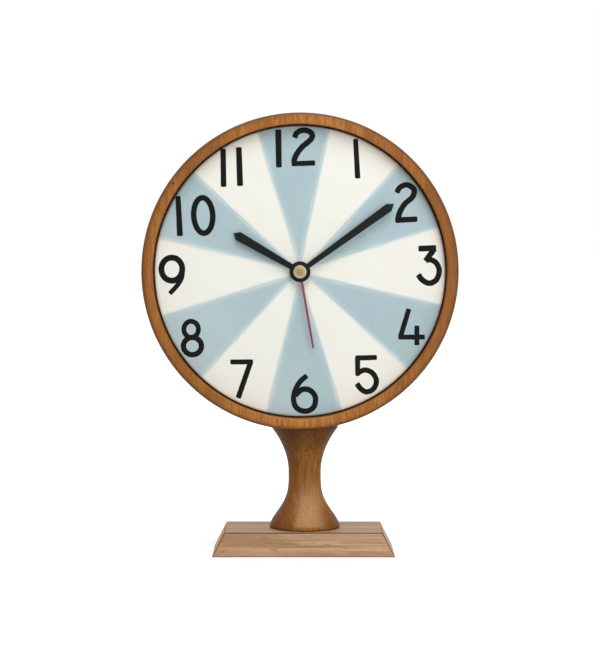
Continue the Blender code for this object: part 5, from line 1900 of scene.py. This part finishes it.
@dataclass(frozen=True)
class Movement(Assembly):
    """What shows of the quartz movement from behind: its shells, setting knob and battery.

    Shares are parts of a radius: those of the knob's dish, and those of the battery's steel end.
    """

    shell_easing: float = 0.00025
    shell_steps: int = 2
    weld_distance: float = 10 * TINY
    flat_angle: float = math.radians(1.0)
    knob_radius: float = 0.0056
    knob_rib_radius: float = 0.0006
    knob_easing: float = 0.0005
    knob_dish: float = 0.0004
    dish_shares: Point = (0.82, 0.74)
    knob_ribs: int = 24
    rib_sides: int = 12
    knob_sides: int = 96
    cell_radius: float = 0.0071
    cell_edge: float = 0.0007
    cell_lip: float = 0.0006
    can_share: float = 0.86
    foot_shares: Point = (0.80, 0.74)
    foot_sink: float = 0.00015
    nub_radius: float = 0.0026
    nub_length: float = 0.0013
    nub_edge: float = 0.00035
    cell_sides: int = 72

    def make(self) -> None:
        """Make what shows of the movement."""
        for node in ("movement_front_case", "movement_rear_case"):
            self.make_shell(node)
        self.make_knob()
        self.make_cell()

    def make_shell(self, node: str) -> None:
        """Ease the moulded edges of a copy of one shell.

        Args:
            node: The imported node.
        """
        bm = bmesh.new()
        bm.from_mesh(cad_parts[node].data)
        bmesh.ops.remove_doubles(bm, verts=bm.verts, dist=self.weld_distance)
        bmesh.ops.dissolve_limit(bm, angle_limit=self.flat_angle, verts=bm.verts, edges=bm.edges)
        sharp = []
        for edge in bm.edges:
            if edge.is_manifold and edge.calc_face_angle() > SHARP_ANGLE:
                sharp.append(edge)
        bmesh.ops.bevel(
            bm, geom=sharp, offset=self.shell_easing, segments=self.shell_steps,
            profile=ROUND, affect="EDGES", clamp_overlap=True,
        )
        name = node.replace("movement", "moulded")
        self.add(name, handed_over(bm, node), Body.CLOCK, "black_plastic", node)

    def knob_blank(self, drum: float, thickness: float) -> bpy.types.Mesh:
        """Return the knob without its ribs: a drum with a shallow dish in its end.

        Args:
            drum: Its radius.
            thickness: Its thickness.
        """
        ease = self.knob_easing
        rim, floor = (share * drum - ease for share in self.dish_shares)
        points = [TurnPoint(0.0, 0.0), TurnPoint(drum, 0.0)]
        points += rounded((drum - ease, thickness - ease), ease, 0.0, 90.0)
        points += [TurnPoint(rim, thickness), TurnPoint(floor, thickness - self.knob_dish)]
        points += [TurnPoint(0.0, thickness - self.knob_dish)]
        return smoothed(turned(points, self.knob_sides, Matrix.Identity(4), closed=False))

    def make_knob(self) -> None:
        """Turn the knob and set its ribs round it."""
        low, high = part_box("time_set_knob")
        middle = (low + high) / 2
        thickness = high.y - low.y
        drum = self.knob_radius - self.knob_rib_radius

        tree = Recipe("knob_ribs")
        ribs, pitch, rib_radius, rib_length, rib_sides = tree.named(
            ribs=self.knob_ribs,
            pitch_radius=drum,
            rib_radius=self.knob_rib_radius,
            rib_length=thickness - self.knob_easing,
            rib_sides=self.rib_sides,
        )
        rim = tree.add("GeometryNodeMeshCircle", None, {"Vertices": ribs, "Radius": pitch})
        rib = tree.drum(rib_sides, rib_radius, rib_length)
        feeds = {"Geometry": rib, "Translation": tree.joined(0.0, 0.0, rib_length * 0.5)}
        rib = tree.add("GeometryNodeTransform", None, feeds).outputs[0]
        feeds = {"Points": rim.outputs["Mesh"], "Instance": rib}
        grips = tree.add("GeometryNodeInstanceOnPoints", None, feeds).outputs[0]
        grips = tree.add("GeometryNodeRealizeInstances", None, {0: grips}).outputs[0]
        blank = self.knob_blank(drum, thickness)
        knob = tree.welded(tree.carrier, grips)
        mesh = tree.cook(knob, blank, self.palette["black_plastic"])
        place = Matrix.Translation((middle.x, low.y, middle.z))
        mesh.transform(place @ Matrix.Rotation(math.radians(-90.0), 4, "X"))
        self.add("ribbed_knob", mesh, Body.SETTING, "black_plastic", "time_set_knob")

    def make_cell(self) -> None:
        """Make the battery: its sleeve with rolled ends, and its steel ends."""
        low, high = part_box("battery_cell")
        half = (high.x - low.x) / 2
        place = Matrix.Translation((low + high) / 2)
        place = place @ Matrix.Rotation(math.radians(90.0), 4, "Y")
        radius, edge, lip = self.cell_radius, self.cell_edge, self.cell_lip
        shoulder = half - self.nub_length
        can = self.can_share * radius
        points = rounded((radius - edge, shoulder - edge), edge, 90.0, 0.0)
        points += rounded((radius - edge, edge - half), edge, 0.0, -90.0)
        points += [TurnPoint(can, along) for along in (-half, lip - half, shoulder - lip, shoulder)]
        mesh = turned(points, self.cell_sides, place, closed=True)
        self.add("battery_wrap", mesh, Body.CLOCK, "battery_sleeve", "battery_cell")

        nub, nub_edge = self.nub_radius, self.nub_edge
        outer, inner = (share * can for share in self.foot_shares)
        points = [TurnPoint(0.0, half)]
        points += rounded((nub - nub_edge, half - nub_edge), nub_edge, 90.0, 0.0)
        points += [TurnPoint(nub, shoulder - lip), TurnPoint(can, shoulder - lip)]
        points += [TurnPoint(can, lip - half), TurnPoint(outer, lip - half)]
        points += [TurnPoint(inner, self.foot_sink - half), TurnPoint(0.0, self.foot_sink - half)]
        mesh = turned(points, self.cell_sides, place, closed=False)
        self.add("battery_can", mesh, Body.CLOCK, "steel")


def dress_works(palette: Palette) -> None:
    """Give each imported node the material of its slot, for those that stay as they are.

    Args:
        palette: The clock's finishes.
    """
    for name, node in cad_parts.items():
        for holder in node.material_slots:
            holder.material = palette[holder.material.name.split(".")[0]]
        LOG.info("dressed %s", name)


@dataclass(frozen=True)
class Lamp:
    """One soft lamp: its place, the spot it faces, its size and its strength in watts."""

    name: str
    place: Triple
    target: Triple
    width: float
    depth: float
    watts: float

    def hang(self) -> None:
        """Hang the lamp."""
        light = bpy.data.lights.new(self.name, "AREA")
        light.shape = "RECTANGLE"
        light.size = self.width
        light.size_y = self.depth
        light.energy = self.watts
        lamp = linked(self.name, light)
        lamp.location = self.place
        towards = Vector(self.target) - Vector(self.place)
        lamp.rotation_euler = towards.to_track_quat("-Z", "Y").to_euler()


@dataclass(frozen=True)
class Studio:
    """White floor, soft lamps and a camera a little above the dial's middle.

    The floor glows for the eye, less near the clock, so that the clock's shadow stays on it.
    """

    camera_place: Triple = (0.0, -1.4725, 0.22287)
    picture_height: int = 650
    focal_length: float = 2307.0
    sensor: float = 36.0
    tilt: float = 3.01
    floor_size: float = 16.0
    paper: float = 0.8
    seen_paper: float = 0.7
    floor_glow: float = 0.52
    far_glow: float = 0.92
    near: float = 0.06
    far: float = 0.12
    room_light: float = 0.25
    lamps: tuple[Lamp, ...] = (
        Lamp("key_lamp", (0.12, -1.2, 1.55), (0.0, 0.0, 0.12), 0.8, 1.3, 19.2),
        Lamp("fill_lamp", (0.9, -1.75, 0.35), (0.0, 0.0, 0.12), 1.4, 1.0, 11.0),
        Lamp("back_lamp", (-0.6, 1.6, 1.2), (0.0, 0.0, 0.12), 1.2, 1.0, 9.0),
    )

    def show(self, graph: Graph, output: str, lit: Socket, seen: Socket) -> None:
        """End a tree in what light meets, and in what is seen straight, in metal or through glass.

        Args:
            graph: The tree.
            output: Name of its last node.
            lit: What light meets.
            seen: What is seen.
        """
        rays = graph.add("ShaderNodeLightPath").outputs
        share = graph.sum_up("MAXIMUM", rays["Is Camera Ray"], rays["Is Glossy Ray"])
        share = share.at_least(rays["Is Transmission Ray"])
        both = graph.add("ShaderNodeMixShader", None, {0: share, 1: lit, 2: seen}).outputs[0]
        graph.feed(graph.tree.nodes[output].inputs["Surface"], both)

    def lay_floor(self) -> None:
        """Lay the floor: white to the eye, with the clock's shadow on it."""
        mesh = bpy.data.meshes.new("floor")
        half = self.floor_size / 2
        corners = [(-half, -half, 0.0), (half, -half, 0.0), (half, half, 0.0), (-half, half, 0.0)]
        mesh.from_pydata(corners, [], [(0, 1, 2, 3)])
        floor = linked("floor", mesh)
        shader = Shader("floor_paper")
        shader.tree.nodes.remove(shader.surface)
        papers = []
        for grey in (self.paper, self.seen_paper):
            node = shader.add("ShaderNodeBsdfDiffuse", None, {"Color": (grey, grey, grey, 1.0)})
            papers.append(node.outputs[0])
        pale, dim = papers
        x, y, _ = shader.parts(shader.place)
        away = shader.eased(shader.sum_up("SQRT", x * x + y * y), self.near, self.far)
        power = away * (self.far_glow - self.floor_glow) + self.floor_glow
        glow = shader.add("ShaderNodeEmission", None, {"Color": WHITE, "Strength": power})
        bright = shader.add("ShaderNodeAddShader", None, {0: dim, 1: glow.outputs[0]})
        self.show(shader, "Material Output", pale, bright.outputs[0])
        mesh.materials.append(shader.material)

    def light_room(self) -> None:
        """Fill the room with even light, seen as plain white."""
        world = bpy.data.worlds.new("room")
        world.use_nodes = True
        bpy.context.scene.world = world
        graph = Graph(world.node_tree)
        even = world.node_tree.nodes["Background"]
        graph.feed(even.inputs["Color"], WHITE)
        graph.feed(even.inputs["Strength"], self.room_light)
        backdrop = graph.add("ShaderNodeBackground", None, {"Color": WHITE, "Strength": 1.0})
        self.show(graph, "World Output", even.outputs[0], backdrop.outputs[0])

    def set_camera(self) -> None:
        """Set the camera up where the photographer stood."""
        lens = bpy.data.cameras.new("camera")
        lens.sensor_fit = "VERTICAL"
        lens.sensor_height = self.sensor
        lens.lens = self.sensor * self.focal_length / self.picture_height
        camera = linked("camera", lens)
        camera.location = self.camera_place
        camera.rotation_euler = (math.radians(90.0 - self.tilt), 0.0, 0.0)
        bpy.context.scene.camera = camera

    def build(self) -> None:
        """Set the whole studio up."""
        self.lay_floor()
        self.light_room()
        for lamp in self.lamps:
            lamp.hang()
        self.set_camera()
        bpy.context.scene.view_settings.view_transform = "Standard"
        LOG.info("studio is set up")


def main() -> None:
    """Build the sub-assemblies in order, from the floor up and from the dial outwards."""
    logging.basicConfig(level=logging.INFO, format="%(message)s")
    ring_low, ring_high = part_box("frame_ring")
    dial_low, dial_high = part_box("dial")
    stem_low, stem_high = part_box("stem")
    base_low, base_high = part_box("base")
    height = (ring_low.z + ring_high.z) / 2
    ring_radius = (ring_high.x - ring_low.x) / 2
    face, dial_radius = dial_low.y, (dial_high.x - dial_low.x) / 2
    stem_centre = (stem_low.x + stem_high.x) / 2
    base_centre = (base_low.x + base_high.x) / 2
    palette = Palette(height, face, dial_radius)

    dress_works(palette)
    Plinth(palette, height, base_centre, stem_centre).make()
    Spool(palette, height, ring_radius, stem_low.z, stem_centre).make()
    FrameRing(palette, height, dial_high.y).make()
    DialPlate(palette, height, face, dial_radius).make()
    Numerals(palette, height, face).make()
    Hands(palette, height).make()
    Movement(palette, height).make()
    Studio().build()


if __name__ == "__main__":
    main()
